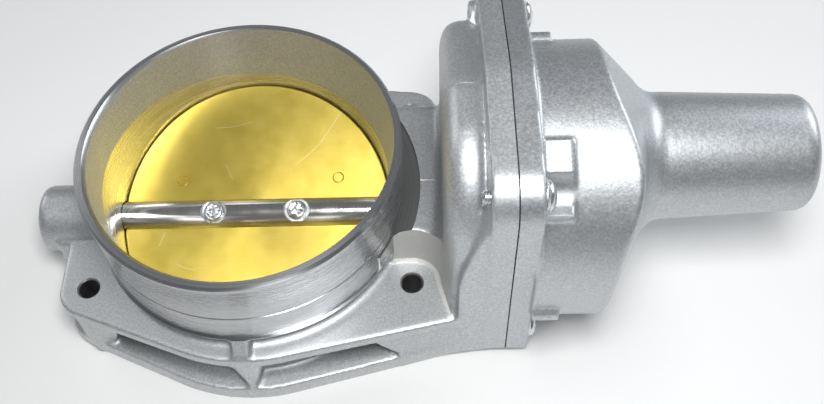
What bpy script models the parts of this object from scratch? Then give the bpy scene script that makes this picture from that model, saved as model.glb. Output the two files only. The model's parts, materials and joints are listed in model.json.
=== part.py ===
"""Electronic throttle body: four-bolt flange, 90 mm bore, motor in a nose beside the bore.

Frame: the origin is where the bore axis meets the mounting face. +Z points to the air inlet,
+X runs along the throttle shaft towards the motor. Sizes here are millimetres; new_object()
turns them into metres.
"""
import math

import bmesh
import bpy
from mathutils import Vector, geometry

MM = 0.001
GAP = 0.3              # running and assembly clearance between neighbouring pieces
ROUND = 52             # steps round a large turned shape
FINE = 20              # steps round a small turned shape

# Bore, inlet collar and flange
BORE_R = 45.3
INLET_R = 47.4
RIM_R = 50.0
RIM_TOP = 59.4
COLLAR_BOTTOM = 28.5
NECK_R = 47.6
FLANGE_T = 6.0
DECK_BOTTOM = 18.2
DECK_TOP = 22.7
SHAFT_Z = 20.0
BOLT_X = 52.1
BOLT_Y_FRONT = -28.9
BOLT_Y_BACK = 40.0
BOLTS = tuple((x, y) for x in (-BOLT_X, BOLT_X) for y in (BOLT_Y_FRONT, BOLT_Y_BACK))
BOLT_HOLE_R = 3.3
EAR_R = 9.7
FRONT_POCKET = (52.5, BOLT_Y_FRONT + 1.1)     # clearance for the front right bolt's head
FRONT_POCKET_R = 10.2
RELIEF_R, RELIEF_Z = 55.4, 35.2               # turned clearance for the hose, sunk into the saddle
COLLAR_PROFILE = (
    (10, 44), (10, 49.4), (DECK_TOP + 0.6, 49.4), (DECK_TOP + 1.4, NECK_R), (COLLAR_BOTTOM - 0.8, NECK_R),
    (COLLAR_BOTTOM, RIM_R - 0.9), (COLLAR_BOTTOM + 1, RIM_R), (55.8, RIM_R), (56.4, RIM_R + 0.4),
    (RIM_TOP - 0.7, RIM_R + 0.4), (RIM_TOP, RIM_R - 0.3), (RIM_TOP, 44))
MOUNT_SEAL_R = (47.8, 50.8)
MOUNT_SEAL_Z = (0.1, 1.6)

# Throttle shaft and plate
SHAFT_R = 5.0
SHAFT_LEFT = -69.0
SHAFT_RIGHT = 83.0
PLATE_T = 1.8
PLATE_R = 45.0
PLATE_TILT = math.radians(17)
PLATE_CLOSED_TILT = math.radians(15)
PLATE_SCREW_X = 14.0
PLATE_SCREW_R = 1.9
BOSS_R = 11.2
BOSS_LEFT = -72.2

# Bearings and seals: stations along X, and radii
SHAFT_BORE_R = 5.4
NEEDLE_X, NEEDLE_R = (-69.3, -58.0), 8.0
SEAL_LEFT_X, SEAL_LEFT_R = (-56.5, -51.5), 8.0
SEAL_RIGHT_X, SEAL_RIGHT_R = (51.0, 55.2), 6.8
SEAT_LEFT_X, SEAT_RIGHT_X = (-69.9, -50.5), (50.5, 55.8)
BEARING_X, BEARING_GROOVE_X = (56.2, 62.8), (57.6, 61.4)
BEARING_R = 11.0
BALL_CIRCLE_R, BALL_R, BALLS = 8.0, 1.45, 8
CIRCLIP_X = (63.6, 64.7)

# Gear case: stations along X
CASE_LEFT = 62.5
CASE_INSIDE = 66.0
BODY_FLANGE_LEFT = 74.4
BODY_FACE = 81.0
COVER_FACE = 82.0
COVER_FLANGE_RIGHT = 88.5
CASE_CORNERS = ((-42.5, 0.5, 3), (-43.5, 88, 12), (2, 90, 30), (46.5, 77.5, 12), (46, 0.5, 6))
BULGE_CORNERS = ((-38.5, 0.5, 16), (-39.5, 83.5, 28), (2, 84.5, 32), (41, 73, 16), (40, 0.5, 16))
COVER_SCREWS = ((-35.5, 80.5), (38.0, 71.5), (39.0, 8.0), (-35.8, 7.5))
DOWELS = ((-39.6, 56.0), (41.4, 40.0))
STOP_SCREW = (77.8, 30.5)

# Motor cover: drum, cone and nose
DRUM_Y, DRUM_Z, DRUM_R = -3.5, 43.0, 42.3
DRUM_END = 109.5
CROWN_AT, CROWN_WIDTH, CROWN = math.radians(127), math.radians(30), 7.0    # its front edge stands proud
PAD_X, PAD_ANGLE = 92.6, math.radians(126)
RIB_ANGLES = (47, 194)
DRUM_INSIDE_R = 38.6
DRUM_INSIDE_END = 106.0
NOSE_Z = SHAFT_Z + 28.2
NOSE_BASE_R = 19.5
NOSE_TIP_R = 17.7
NOSE_BASE = 124.0
NOSE_END = 172.0
NOSE_INSIDE_R = 15.6
NOSE_INSIDE_END = 167.5

# Motor, as stations along X and radii
MOTOR_SCREWS = ((-20.5, NOSE_Z + 3.0), (20.5, NOSE_Z - 3.0))
CAN_START, CAN_END, CAN_R, CAN_WALL = 107.0, 166.6, 15.0, 1.0
END_PLATE_X = (103.6, 105.6)
MOTOR_SHAFT_X, MOTOR_SHAFT_R = (88.4, 165.0), 1.6
MAGNET_X, MAGNET_R = (120, 158), (11.3, 13.7)
CORE_X, CORE_R, CORE_SLOT_R, POLES = (122, 156), 10.8, 4.6, 5
COMMUTATOR_X, COMMUTATOR_R = (110, 117), 4.0
FRONT_BUSHING_X, REAR_BUSHING_X = (103.8, 107.5), (161.5, 165.3)
WAVE_WASHER_X = (166.85, 167.25)

# Cable socket
CONNECTOR_SCREWS = ((100.1, 29.2), (100.1, 6.8))
PINS = tuple((x, z) for z in (15.8, 20.2) for x in (97.1, 100.1, 103.1))

# Gears
MODULE = 1.0
PRESSURE_ANGLE = math.radians(25)
SECTOR_TEETH, IDLER_SMALL_TEETH, IDLER_LARGE_TEETH, PINION_TEETH = 36, 12, 34, 10
SECTOR_X = (77.0, 83.6)
IDLER_SMALL_X = (77.4, 84.6)
IDLER_LARGE_X = (89.3, 93.7)
PINION_X = (88.7, 94.3)
GEAR_PIN_R = 2.0
OPEN_TRAVEL = 73.0     # degrees from rest to wide open
CLOSE_TRAVEL = 2.0     # degrees from rest to closed

# Return spring: a plain coil round its bushing
SPRING_TURNS, SPRING_STEPS = 3.2, 16
SPRING_R, SPRING_WIRE_R = 11.6, 0.75
SPRING_START, SPRING_PITCH = 69.6, 1.75


# ---------------------------------------------------------------- mesh tools

def new_object(name, points, faces):
    """A closed mesh from points in millimetres, with its faces turned outwards."""
    mesh = bpy.data.meshes.new(name)
    mesh.from_pydata([Vector(p) * MM for p in points], [], faces)
    bm = bmesh.new()
    bm.from_mesh(mesh)
    bmesh.ops.remove_doubles(bm, verts=bm.verts, dist=1e-7)
    bmesh.ops.recalc_face_normals(bm, faces=bm.faces)
    bm.to_mesh(mesh)
    bm.free()
    obj = bpy.data.objects.new(name, mesh)
    bpy.context.scene.collection.objects.link(obj)
    return obj


def place(axis, along, u, v):
    """A point at 'along' on the axis; u, v are its other two coordinates in X, Y, Z order."""
    if axis == "X":
        return (along, u, v)
    if axis == "Y":
        return (u, along, v)
    return (u, v, along)


def loft(name, axis, sections):
    """A solid through outlines with equal point counts: sections = [(station, [(u, v), ...])]."""
    count = len(sections[0][1])
    points = [place(axis, station, u, v) for station, outline in sections for u, v in outline]
    faces = [tuple(range(count)), tuple(range(len(points) - count, len(points)))]
    for ring in range(len(sections) - 1):
        base = ring * count
        for i in range(count):
            j = (i + 1) % count
            faces.append((base + i, base + j, base + count + j, base + count + i))
    return new_object(name, points, faces)


def prism(name, axis, start, end, outline):
    return loft(name, axis, [(start, outline), (end, outline)])


def turned(name, axis, centre, profile, steps=FINE):
    """A lathe shape. profile = [(station, radius), ...]; a profile off the axis closes on itself."""
    cu, cv = centre
    points, rings = [], []
    for station, radius in profile:
        count = steps if radius > 0 else 1
        rings.append([len(points) + i for i in range(count)])
        for i in range(count):
            a = 2 * math.pi * i / steps
            points.append(place(axis, station, cu + radius * math.cos(a), cv + radius * math.sin(a)))
    pairs = list(zip(rings, rings[1:]))
    if profile[0][1] > 0 and profile[-1][1] > 0:
        pairs.append((rings[-1], rings[0]))
    faces = []
    for a, b in pairs:
        for i in range(steps):
            j = (i + 1) % steps
            corners = [a[i % len(a)], a[j % len(a)], b[j % len(b)], b[i % len(b)]]
            faces.append(tuple(dict.fromkeys(corners)))
    return new_object(name, points, faces)


def cylinder(name, axis, centre, start, end, radius, steps=FINE):
    return turned(name, axis, centre, [(start, 0), (start, radius), (end, radius), (end, 0)], steps)


def ring(name, axis, centre, start, end, inner, outer, steps=FINE):
    return turned(name, axis, centre, [(start, inner), (start, outer), (end, outer), (end, inner)], steps)


def box(name, low, high):
    (x0, y0, z0), (x1, y1, z1) = low, high
    return prism(name, "Z", z0, z1, [(x0, y0), (x1, y0), (x1, y1), (x0, y1)])


def combine(target, operation, tools):
    """Joins the tools to the target, or cuts them from it, and removes the tools."""
    for tool in tools:
        modifier = target.modifiers.new(operation, "BOOLEAN")
        modifier.operation = operation
        modifier.solver = "EXACT"
        modifier.object = tool
        bpy.context.view_layer.update()
        graph = bpy.context.evaluated_depsgraph_get()
        mesh = bpy.data.meshes.new_from_object(target.evaluated_get(graph))
        target.modifiers.clear()
        target.data = mesh
        bpy.data.objects.remove(tool)
        weld(mesh)
    return target


def weld(mesh):
    """Merges points a Boolean leaves within a micrometre of each other."""
    bm = bmesh.new()
    bm.from_mesh(mesh)
    bmesh.ops.remove_doubles(bm, verts=bm.verts, dist=1e-6)
    bmesh.ops.dissolve_degenerate(bm, edges=bm.edges, dist=1e-7)
    bm.to_mesh(mesh)
    bm.free()


def join(target, *tools):
    return combine(target, "UNION", tools)


def cut(target, *tools):
    return combine(target, "DIFFERENCE", tools)


def turn_about_x(obj, angle, centre):
    """Turns an object's mesh about a line along X through centre = (y, z)."""
    cy, cz = centre[0] * MM, centre[1] * MM
    cos, sin = math.cos(angle), math.sin(angle)
    for vertex in obj.data.vertices:
        y, z = vertex.co.y - cy, vertex.co.z - cz
        vertex.co.y = cy + y * cos - z * sin
        vertex.co.z = cz + y * sin + z * cos
    return obj


# ---------------------------------------------------------------- outlines

def arc(centre, radius, start, end, steps):
    """Points on an arc, with angles in degrees."""
    angles = [math.radians(start + (end - start) * i / steps) for i in range(steps + 1)]
    return [(centre[0] + radius * math.cos(a), centre[1] + radius * math.sin(a)) for a in angles]


def hull(circles, steps=48):
    """The convex outline round some circles = [((u, v), radius), ...]."""
    points = [Vector(p) for centre, radius in circles for p in arc(centre, radius, 0, 360, steps)[:-1]]
    return [tuple(points[i]) for i in geometry.convex_hull_2d(points)]


def rounded(corners, inset=0.0, steps=6):
    """A convex outline from (u, v, radius) corners in clockwise order, moved inwards by inset."""
    outline = []
    count = len(corners)
    edges = []
    for i in range(count):
        a, b = Vector(corners[i][:2]), Vector(corners[(i + 1) % count][:2])
        direction = (b - a).normalized()
        normal = Vector((direction.y, -direction.x))
        edges.append((a + normal * inset, direction))
    for i in range(count):
        (p, d), (q, e) = edges[i - 1], edges[i]
        t = (q - p).cross(e) / d.cross(e)
        corner = p + d * t
        radius = max(corners[i][2] - inset, 0.6)
        half = math.acos(max(-1.0, min(1.0, -d.dot(e)))) / 2
        reach = radius / math.tan(half)
        middle = (e - d).normalized()
        centre = corner + middle * (radius / math.sin(half))
        first, last = corner - d * reach - centre, corner + e * reach - centre
        turn = first.angle_signed(last)
        for k in range(steps + 1):
            a = -turn * k / steps
            x = first.x * math.cos(a) - first.y * math.sin(a)
            y = first.x * math.sin(a) + first.y * math.cos(a)
            outline.append((centre.x + x, centre.y + y))
    return outline


def involute(angle):
    return math.tan(angle) - angle


def tooth_flank(teeth, radius):
    """Half the angle of a tooth at a radius, with backlash taken off."""
    pitch = teeth * MODULE / 2
    base = pitch * math.cos(PRESSURE_ANGLE)
    at = math.acos(base / max(radius, base))
    backlash = 0.12 / pitch
    return math.pi / (2 * teeth) - backlash + involute(PRESSURE_ANGLE) - involute(at)


def gear_outline(teeth, centre, phase, first=0, count=None):
    """Involute teeth from number first on; a tooth's middle is at the angle phase, in radians."""
    pitch = teeth * MODULE / 2
    root, tip = pitch - 1.05 * MODULE, pitch + 0.8 * MODULE
    base = pitch * math.cos(PRESSURE_ANGLE)
    radii = [root, pitch, tip]
    outline = []
    for k in range(first, first + (count or teeth)):
        middle = phase + 2 * math.pi * k / teeth
        flank = [(r, tooth_flank(teeth, r)) for r in radii]
        for r, half in flank:
            outline.append((r, middle - half))
        for r, half in reversed(flank):
            outline.append((r, middle + half))
    return [(centre[0] + r * math.cos(a), centre[1] + r * math.sin(a)) for r, a in outline]


# ---------------------------------------------------------------- materials

def material(name, colour, metallic, roughness):
    made = bpy.data.materials.new(name)
    made.use_nodes = True
    shader = made.node_tree.nodes["Principled BSDF"]
    shader.inputs["Base Color"].default_value = (*colour, 1)
    shader.inputs["Metallic"].default_value = metallic
    shader.inputs["Roughness"].default_value = roughness
    made.diffuse_color = (*colour, 1)
    return made


def keep(obj, look, axis_empty=None):
    """Finishes a sub-part: material, smooth shading, and the empty of its joint axis if it moves."""
    obj.data.materials.clear()
    obj.data.materials.append(look)
    obj.data.shade_smooth()
    obj.data.set_sharp_from_angle(angle=math.radians(35))
    if axis_empty:
        obj.parent = axis_empty
        obj.matrix_parent_inverse = axis_empty.matrix_world.inverted()
    return obj


def axis_at(name, y, z):
    empty = bpy.data.objects.new(name, None)
    bpy.context.scene.collection.objects.link(empty)
    empty.location = (0, y * MM, z * MM)
    bpy.context.view_layer.update()
    return empty


# ---------------------------------------------------------------- gear layout

def idler_centre():
    """Where the idler sits: on the front side, in mesh with both the sector and the pinion."""
    to_shaft = (SECTOR_TEETH + IDLER_SMALL_TEETH) * MODULE / 2
    to_motor = (IDLER_LARGE_TEETH + PINION_TEETH) * MODULE / 2
    apart = NOSE_Z - SHAFT_Z
    up = (to_shaft ** 2 - to_motor ** 2 + apart ** 2) / (2 * apart)
    return (-math.sqrt(to_shaft ** 2 - up ** 2), SHAFT_Z + up)


SHAFT = (0.0, SHAFT_Z)
MOTOR = (0.0, NOSE_Z)
IDLER = idler_centre()
TO_IDLER = math.atan2(IDLER[1] - SHAFT_Z, IDLER[0])
TO_MOTOR = math.atan2(NOSE_Z - IDLER[1], -IDLER[0])


# ---------------------------------------------------------------- body casting

def plate_outline(bore_r, ear_r, corner):
    return hull([((0, 0), bore_r), *[(centre, ear_r) for centre in BOLTS], (corner, 1.5)])


def body_casting():
    """The casting: plates, ears and gear case round the neck, then the bore and the seats."""
    body = prism("body_casting", "Z", 0, FLANGE_T, plate_outline(57.8, 10.4, (64, -43)))
    join(
        body,
        prism("deck", "Z", DECK_BOTTOM, DECK_TOP, plate_outline(55.2, EAR_R, (65, -41))),
        cylinder("core", "Z", (0, 0), 0.8, DECK_TOP - 0.8, 50.0, ROUND),
        *[cylinder("column", "Z", (x, y), 1, DECK_TOP - 1, 8.4) for x, y in BOLTS],
        box("corner_block", (43, -41.2, 1.2), (70, -24, DECK_TOP - 1.2)),
        box("back_block", (40, 20, 1.4), (75, 37.5, DECK_TOP - 1.4)),
        prism("saddle", "X", 40, 75, [(-31, 0.8), (-30, 12), (-26, 33), (-18, 35.6), (0, 36.2), (26, 36.6),
                                      (31.5, 35), (33.2, 33), (33.4, 0.8)]),
        *gear_case(),
    )
    cut(
        body,
        cylinder("collar_room", "Z", (0, 0), RELIEF_Z, 60, RELIEF_R, ROUND),
        cylinder("front_pocket", "Z", FRONT_POCKET, DECK_TOP + 0.2, 60, FRONT_POCKET_R, 32),
    )
    join(
        body,
        turned("collar", "Z", (0, 0), COLLAR_PROFILE, ROUND),
        prism("bearing_bridge", "X", 44, 58, [(-11, 12), (-11, 24), (-7.5, 28.4), (7.5, 28.4), (11, 24),
                                              (11, 12)]),
        prism("front_rib", "X", -3.2, 1.6, [(-42, 3), (-57.2, 5), (-54.6, DECK_TOP - 0.6), (-42, 36)]),
        turned("left_boss", "X", SHAFT, [
            (BOSS_LEFT, 0), (BOSS_LEFT, BOSS_R - 2), (BOSS_LEFT + 0.6, BOSS_R - 0.6),
            (BOSS_LEFT + 2, BOSS_R), (-46.5, BOSS_R), (-46.5, 0)], 32),
    )
    cut(
        body,
        turned("bore", "Z", (0, 0), [
            (-1, 0), (-1, BORE_R), (40, BORE_R), (RIM_TOP - 1.2, INLET_R - 0.4),
            (RIM_TOP + 1, INLET_R + 0.8), (RIM_TOP + 1, 0)], ROUND),
        *[cylinder("bolt_hole", "Z", (x, y), -1, 50, BOLT_HOLE_R, 20) for x, y in BOLTS],
        prism("chamber", "X", CASE_INSIDE, BODY_FACE + 1, rounded(BULGE_CORNERS, 3.6)),
    )
    join(body, cylinder("idler_boss", "X", IDLER, CASE_INSIDE - 1, 75.5, 5.2),
         cylinder("bearing_boss", "X", SHAFT, CASE_INSIDE - 1, 68.0, 13.6, 32))
    inside = BORE_R - 3.3
    (left_end, left_step), (right_step, right_end) = SEAT_LEFT_X, SEAT_RIGHT_X
    return cut(
        body,
        turned("left_seat", "X", SHAFT, [
            (left_end, 0), (left_end, NEEDLE_R + GAP), (left_step, NEEDLE_R + GAP),
            (left_step, SHAFT_BORE_R), (-inside, SHAFT_BORE_R), (-inside, 0)], 32),
        turned("right_seat", "X", SHAFT, [
            (inside, 0), (inside, SHAFT_BORE_R), (right_step, SHAFT_BORE_R),
            (right_step, SEAL_RIGHT_R + GAP), (right_end, SEAL_RIGHT_R + GAP),
            (right_end, BEARING_R + GAP), (69, BEARING_R + GAP), (69, 0)], 32),
        cylinder("idler_pin_hole", "X", IDLER, 68.5, 77, GEAR_PIN_R + GAP, 16),
        cylinder("stop_screw_hole", "Y", STOP_SCREW, 30, 50, 2.3, 14),
        ring("clip_groove", "X", SHAFT, CIRCLIP_X[0] - 0.2, CIRCLIP_X[1] + 0.2, 10, 12.2, 24),
        ring("seal_groove", "Z", (0, 0), -1, 1.9, 47.2, 51.4, ROUND),
        *[cylinder("screw_hole", "X", centre, 70, 83, 2.5, 14) for centre in COVER_SCREWS],
        *[cylinder("dowel_hole", "X", centre, 76.5, 83, 2.3, 14) for centre in DOWELS],
    )


def gear_case():
    """The swelling beside the neck, its flange, and the flat block under it at the front."""
    insets = ((CASE_LEFT, 9), (CASE_LEFT + 0.7, 6), (CASE_LEFT + 2.2, 3.2), (CASE_LEFT + 4.6, 1.2),
              (CASE_LEFT + 8, 0.2), (BODY_FLANGE_LEFT + 1, 0))
    swelling = loft("swelling", "X", [(x, rounded(BULGE_CORNERS, inset)) for x, inset in insets])
    flange = prism("case_flange", "X", BODY_FLANGE_LEFT, BODY_FACE, rounded(CASE_CORNERS))
    block = prism("case_block", "Y", -42.3, -30, [(66, 0.6), (75, 0.6), (75, 78), (71.6, 66),
                                                  (67.2, 52), (66, 44)])
    return swelling, flange, block


# ---------------------------------------------------------------- shaft, plate and bearings

def throttle_shaft():
    shaft = turned("throttle_shaft", "X", SHAFT, [
        (SHAFT_LEFT, 0), (SHAFT_LEFT, SHAFT_R - 0.6), (SHAFT_LEFT + 0.6, SHAFT_R),
        (SHAFT_RIGHT - 0.6, SHAFT_R), (SHAFT_RIGHT, SHAFT_R - 0.6), (SHAFT_RIGHT, 0)], 32)
    slot_half = PLATE_T / 2 + GAP
    cut(shaft, box("slot", (-45.9, -9, SHAFT_Z - slot_half), (45.9, 9, SHAFT_Z + slot_half)))
    for x in (-PLATE_SCREW_X, PLATE_SCREW_X):
        cut(shaft, turned("countersink", "Z", (x, 0), [
            (SHAFT_Z - 9, 0), (SHAFT_Z - 9, 2.3), (SHAFT_Z + 2.9, 2.3), (SHAFT_Z + 2.9, 3.6),
            (SHAFT_Z + 3.6, 3.7), (SHAFT_Z + 5.2, 5.2), (SHAFT_Z + 5.2, 0)]))
    return turn_about_x(shaft, PLATE_TILT, SHAFT)


def throttle_plate():
    """A disc a little longer across the shaft, so that it closes on the bore at a slant."""
    stretch = 1 / math.cos(PLATE_CLOSED_TILT)
    sections = []
    for z, inset in ((-PLATE_T / 2, 0.25), (-0.3, 0), (0.3, 0), (PLATE_T / 2, 0.25)):
        r = PLATE_R - inset
        sections.append((SHAFT_Z + z, [(x, y * stretch) for x, y in arc((0, 0), r, 0, 360, 72)[:-1]]))
    plate = loft("throttle_plate", "Z", sections)
    for x in (-PLATE_SCREW_X, PLATE_SCREW_X):
        cut(plate, cylinder("hole", "Z", (x, 0), SHAFT_Z - 5, SHAFT_Z + 5, 2.2, 16))
    return turn_about_x(plate, PLATE_TILT, SHAFT)


def plate_screw(name, x):
    screw = turned(name, "Z", (x, 0), [
        (SHAFT_Z - 5.4, 0), (SHAFT_Z - 5.4, PLATE_SCREW_R - 0.4), (SHAFT_Z - 5.0, PLATE_SCREW_R),
        (SHAFT_Z + 3.2, PLATE_SCREW_R), (SHAFT_Z + 3.2, 3.1), (SHAFT_Z + 4.4, 3.1), (SHAFT_Z + 5.2, 2.0),
        (SHAFT_Z + 5.4, 0)], 20)
    long, narrow = 1.9, 0.35
    for half_x, half_y in ((long, narrow), (narrow, long)):
        cut(screw, box("recess", (x - half_x, -half_y, SHAFT_Z + 4.3), (x + half_x, half_y, SHAFT_Z + 6)))
    return turn_about_x(screw, PLATE_TILT, SHAFT)


def ball_set():
    """The balls, held apart by their cage."""
    middle = (BEARING_X[0] + BEARING_X[1]) / 2
    cage = ring("ball_bearing_cage", "X", SHAFT, middle - 0.9, middle + 0.9,
                BALL_CIRCLE_R - 0.4, BALL_CIRCLE_R + 0.4, 24)
    balls = []
    for centre in arc(SHAFT, BALL_CIRCLE_R, 0, 360, BALLS)[:-1]:
        profile = [(middle + x, r) for x, r in arc((0, 0), BALL_R, 0, 180, 4)]
        profile[0], profile[-1] = (middle + BALL_R, 0), (middle - BALL_R, 0)
        balls.append(turned("ball", "X", centre, profile, 6))
    return join(cage, *balls)


def race(name, back, face, groove):
    """A bearing ring between the radii back and face, with a ball groove of radius groove in its face."""
    (start, end), (groove_start, groove_end) = BEARING_X, BEARING_GROOVE_X
    return turned(name, "X", SHAFT, [
        (start, back), (start, face), (groove_start, face), (groove_start, groove), (groove_end, groove),
        (groove_end, face), (end, face), (end, back)], 24)


# ---------------------------------------------------------------- gears and spring

def sector_gear():
    """Teeth over the travel plus a margin, on a web and hub that fit the shaft."""
    margin = 8
    step = 360 / SECTOR_TEETH
    first = -math.ceil((OPEN_TRAVEL + margin) / step)
    last = math.ceil((CLOSE_TRAVEL + margin) / step)
    outline = gear_outline(SECTOR_TEETH, SHAFT, TO_IDLER, first, last - first + 1)
    outline.append(SHAFT)
    gear = prism("sector_gear", "X", *SECTOR_X, outline)
    join(gear, cylinder("hub", "X", SHAFT, SECTOR_X[0] - 0.8, SECTOR_X[1] + 1.3, 9.0, 32))
    bore = cylinder("shaft_bore", "X", SHAFT, SECTOR_X[0] - 2, SHAFT_RIGHT + GAP, SHAFT_R + GAP, 32)
    return cut(gear, bore)


def idler_gear():
    small = gear_outline(IDLER_SMALL_TEETH, IDLER, TO_IDLER + math.pi + math.pi / IDLER_SMALL_TEETH)
    large = gear_outline(IDLER_LARGE_TEETH, IDLER, TO_MOTOR)
    gear = prism("idler_gear", "X", IDLER_LARGE_X[0], IDLER_LARGE_X[1], large)
    join(gear, prism("small", "X", IDLER_SMALL_X[0], IDLER_LARGE_X[0] + 1, small))
    cut(gear, ring("web_recess", "X", IDLER, IDLER_LARGE_X[1] - 1.6, IDLER_LARGE_X[1] + 1, 6.5, 14.2, 32))
    return cut(gear, cylinder("pin_bore", "X", IDLER, 70, 100, GEAR_PIN_R + GAP, 20))


def pinion():
    outline = gear_outline(PINION_TEETH, MOTOR, TO_MOTOR + math.pi + math.pi / PINION_TEETH)
    gear = prism("motor_pinion", "X", *PINION_X, outline)
    return cut(gear, cylinder("bore", "X", MOTOR, 80, 100, MOTOR_SHAFT_R + GAP, 14))


def return_spring():
    """A torsion spring: a coil of round wire round the bushing on the shaft."""
    first = math.radians(100)
    path = []
    for i in range(int(SPRING_TURNS * SPRING_STEPS) + 1):
        turns = i / SPRING_STEPS
        a = 2 * math.pi * turns + first
        path.append((SPRING_START + SPRING_PITCH * turns, SPRING_R * math.cos(a),
                     SHAFT_Z + SPRING_R * math.sin(a)))
    return swept("return_spring", path, SPRING_WIRE_R, 6)


def swept(name, path, radius, sides):
    """A round wire along a path given as (x, y, z) points."""
    centres = [Vector(p) for p in path]
    points, faces = [], []
    for i, centre in enumerate(centres):
        ahead = centres[min(i + 1, len(centres) - 1)] - centres[max(i - 1, 0)]
        ahead.normalize()
        side = ahead.cross(Vector((1, 0, 0))).normalized()
        up = side.cross(ahead)
        for k in range(sides):
            a = 2 * math.pi * k / sides
            points.append(centre + radius * (side * math.cos(a) + up * math.sin(a)))
    for i in range(len(centres) - 1):
        for k in range(sides):
            j = (k + 1) % sides
            faces.append((i * sides + k, i * sides + j, (i + 1) * sides + j, (i + 1) * sides + k))
    faces.append(tuple(range(sides)))
    faces.append(tuple(range(len(points) - sides, len(points))))
    return new_object(name, points, faces)


# ---------------------------------------------------------------- motor cover

def drum_ring(x, y, z, radius, crowned=False, steps=64):
    """A ring of points round a line along X; a crowned one bulges where the drum's edge stands proud."""
    points = []
    for i in range(steps):
        a = 2 * math.pi * i / steps
        off = (a - CROWN_AT + math.pi) % (2 * math.pi) - math.pi
        lift = CROWN * math.exp(-(off / CROWN_WIDTH) ** 2) if crowned else 0.0
        points.append((x + lift, y + radius * math.cos(a), z + radius * math.sin(a)))
    return points


def shoulder_sections():
    """Drum, crowned shoulder and cone down to the rounded nose, as rings of equal count."""
    corner = 4.0
    sections = [
        drum_ring(COVER_FLANGE_RIGHT - 1, DRUM_Y, DRUM_Z, DRUM_R),
        drum_ring(DRUM_END - 1.5, DRUM_Y, DRUM_Z, DRUM_R, crowned=True),
        drum_ring(DRUM_END, DRUM_Y, DRUM_Z, DRUM_R - 1.2, crowned=True),
        drum_ring(NOSE_BASE - 4.2, -0.6, NOSE_Z - 0.8, NOSE_BASE_R + 5.5),
        drum_ring(NOSE_BASE - 0.6, *MOTOR, NOSE_BASE_R + 1.6),
        drum_ring(NOSE_BASE + 4, *MOTOR, NOSE_BASE_R),
    ]
    for a in (math.pi / 2 * k / 3 for k in range(4)):
        sections.append(drum_ring(NOSE_END - corner * (1 - math.sin(a)), *MOTOR,
                                  NOSE_TIP_R - corner * (1 - math.cos(a))))
    return sections


def ring_solid(name, sections):
    """A solid through rings of free points."""
    count = len(sections[0])
    points = [p for section in sections for p in section]
    faces = [tuple(range(count)), tuple(range(len(points) - count, len(points)))]
    for r in range(len(sections) - 1):
        for i in range(count):
            j = (i + 1) % count
            faces.append((r * count + i, r * count + j, (r + 1) * count + j, (r + 1) * count + i))
    return new_object(name, points, faces)


def gear_cover():
    cover = prism("gear_cover", "X", COVER_FACE, COVER_FLANGE_RIGHT, rounded(CASE_CORNERS))
    join(
        cover,
        ring_solid("shoulder", shoulder_sections()),
        drum_pad(),
        *[cylinder("rib", "X", drum_point(angle, DRUM_R - 0.6), COVER_FLANGE_RIGHT - 1, 94.3, 3.0, 16)
          for angle in RIB_ANGLES],
        box("connector_pad", (92.9, 8, 4.2), (107.3, 39.3, 31.8)),
    )
    cut(
        cover,
        cylinder("tool_clearance", "X", COVER_SCREWS[0], COVER_FLANGE_RIGHT, 100, 6.6, 24),
        prism("flange_opening", "X", COVER_FACE - 1, COVER_FLANGE_RIGHT + 1, rounded(BULGE_CORNERS, 3.6)),
        cylinder("drum_hollow", "X", (DRUM_Y, DRUM_Z), COVER_FLANGE_RIGHT, DRUM_INSIDE_END,
                 DRUM_INSIDE_R, 48),
        cylinder("nose_hollow", "X", MOTOR, DRUM_INSIDE_END - 1, NOSE_INSIDE_END, NOSE_INSIDE_R, 48),
        box("connector_window", (95.3, 6, 13.0), (104.9, 45, 23.0)),
        *[cylinder("screw_hole", "X", centre, COVER_FACE - 1, 90, 2.6, 14) for centre in COVER_SCREWS],
        *[cylinder("dowel_hole", "X", centre, COVER_FACE - 1, 86, 2.3, 14) for centre in DOWELS],
        *[cylinder("motor_screw_hole", "X", centre, DRUM_INSIDE_END - 1, 113, 1.8, 12)
          for centre in MOTOR_SCREWS],
    )
    join(cover, cylinder("pin_post", "X", IDLER, 94.6, DRUM_INSIDE_END + 1, 4.4, 20))
    cut(
        cover,
        cylinder("pin_socket", "X", IDLER, 94, 99.5, GEAR_PIN_R + GAP, 14),
        *[cylinder("connector_screw_hole", "Y", centre, 5, 45, 1.5, 10) for centre in CONNECTOR_SCREWS],
    )
    return cover


def drum_point(angle, radius):
    """A point on the drum; the angle is in degrees from +Y towards +Z."""
    a = math.radians(angle)
    return (DRUM_Y + radius * math.cos(a), DRUM_Z + radius * math.sin(a))


def drum_pad():
    """The flat raised pad beside the front screw, square to the drum's radius."""
    out = Vector((math.cos(PAD_ANGLE), math.sin(PAD_ANGLE)))
    along = Vector((math.sin(PAD_ANGLE), -math.cos(PAD_ANGLE)))
    low, high, front, back = DRUM_R - 8, DRUM_R + 3.2, -14, 8.5
    corners = ((low, front), (high, front), (high, back), (low, back))
    outline = [Vector((DRUM_Y, DRUM_Z)) + out * o + along * a for o, a in corners]
    return prism("pad", "X", PAD_X - 5, PAD_X + 4.3, outline)


def cover_gasket():
    outline = rounded(CASE_CORNERS, 0.6)
    gasket = prism("cover_gasket", "X", BODY_FACE + 0.2, COVER_FACE - 0.2, outline)
    return cut(
        gasket,
        prism("opening", "X", BODY_FACE - 1, COVER_FACE + 1, rounded(BULGE_CORNERS, 3.0)),
        *[cylinder("hole", "X", centre, BODY_FACE - 1, COVER_FACE + 1, 2.7, 14)
          for centre in (*COVER_SCREWS, *DOWELS)],
    )


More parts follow.
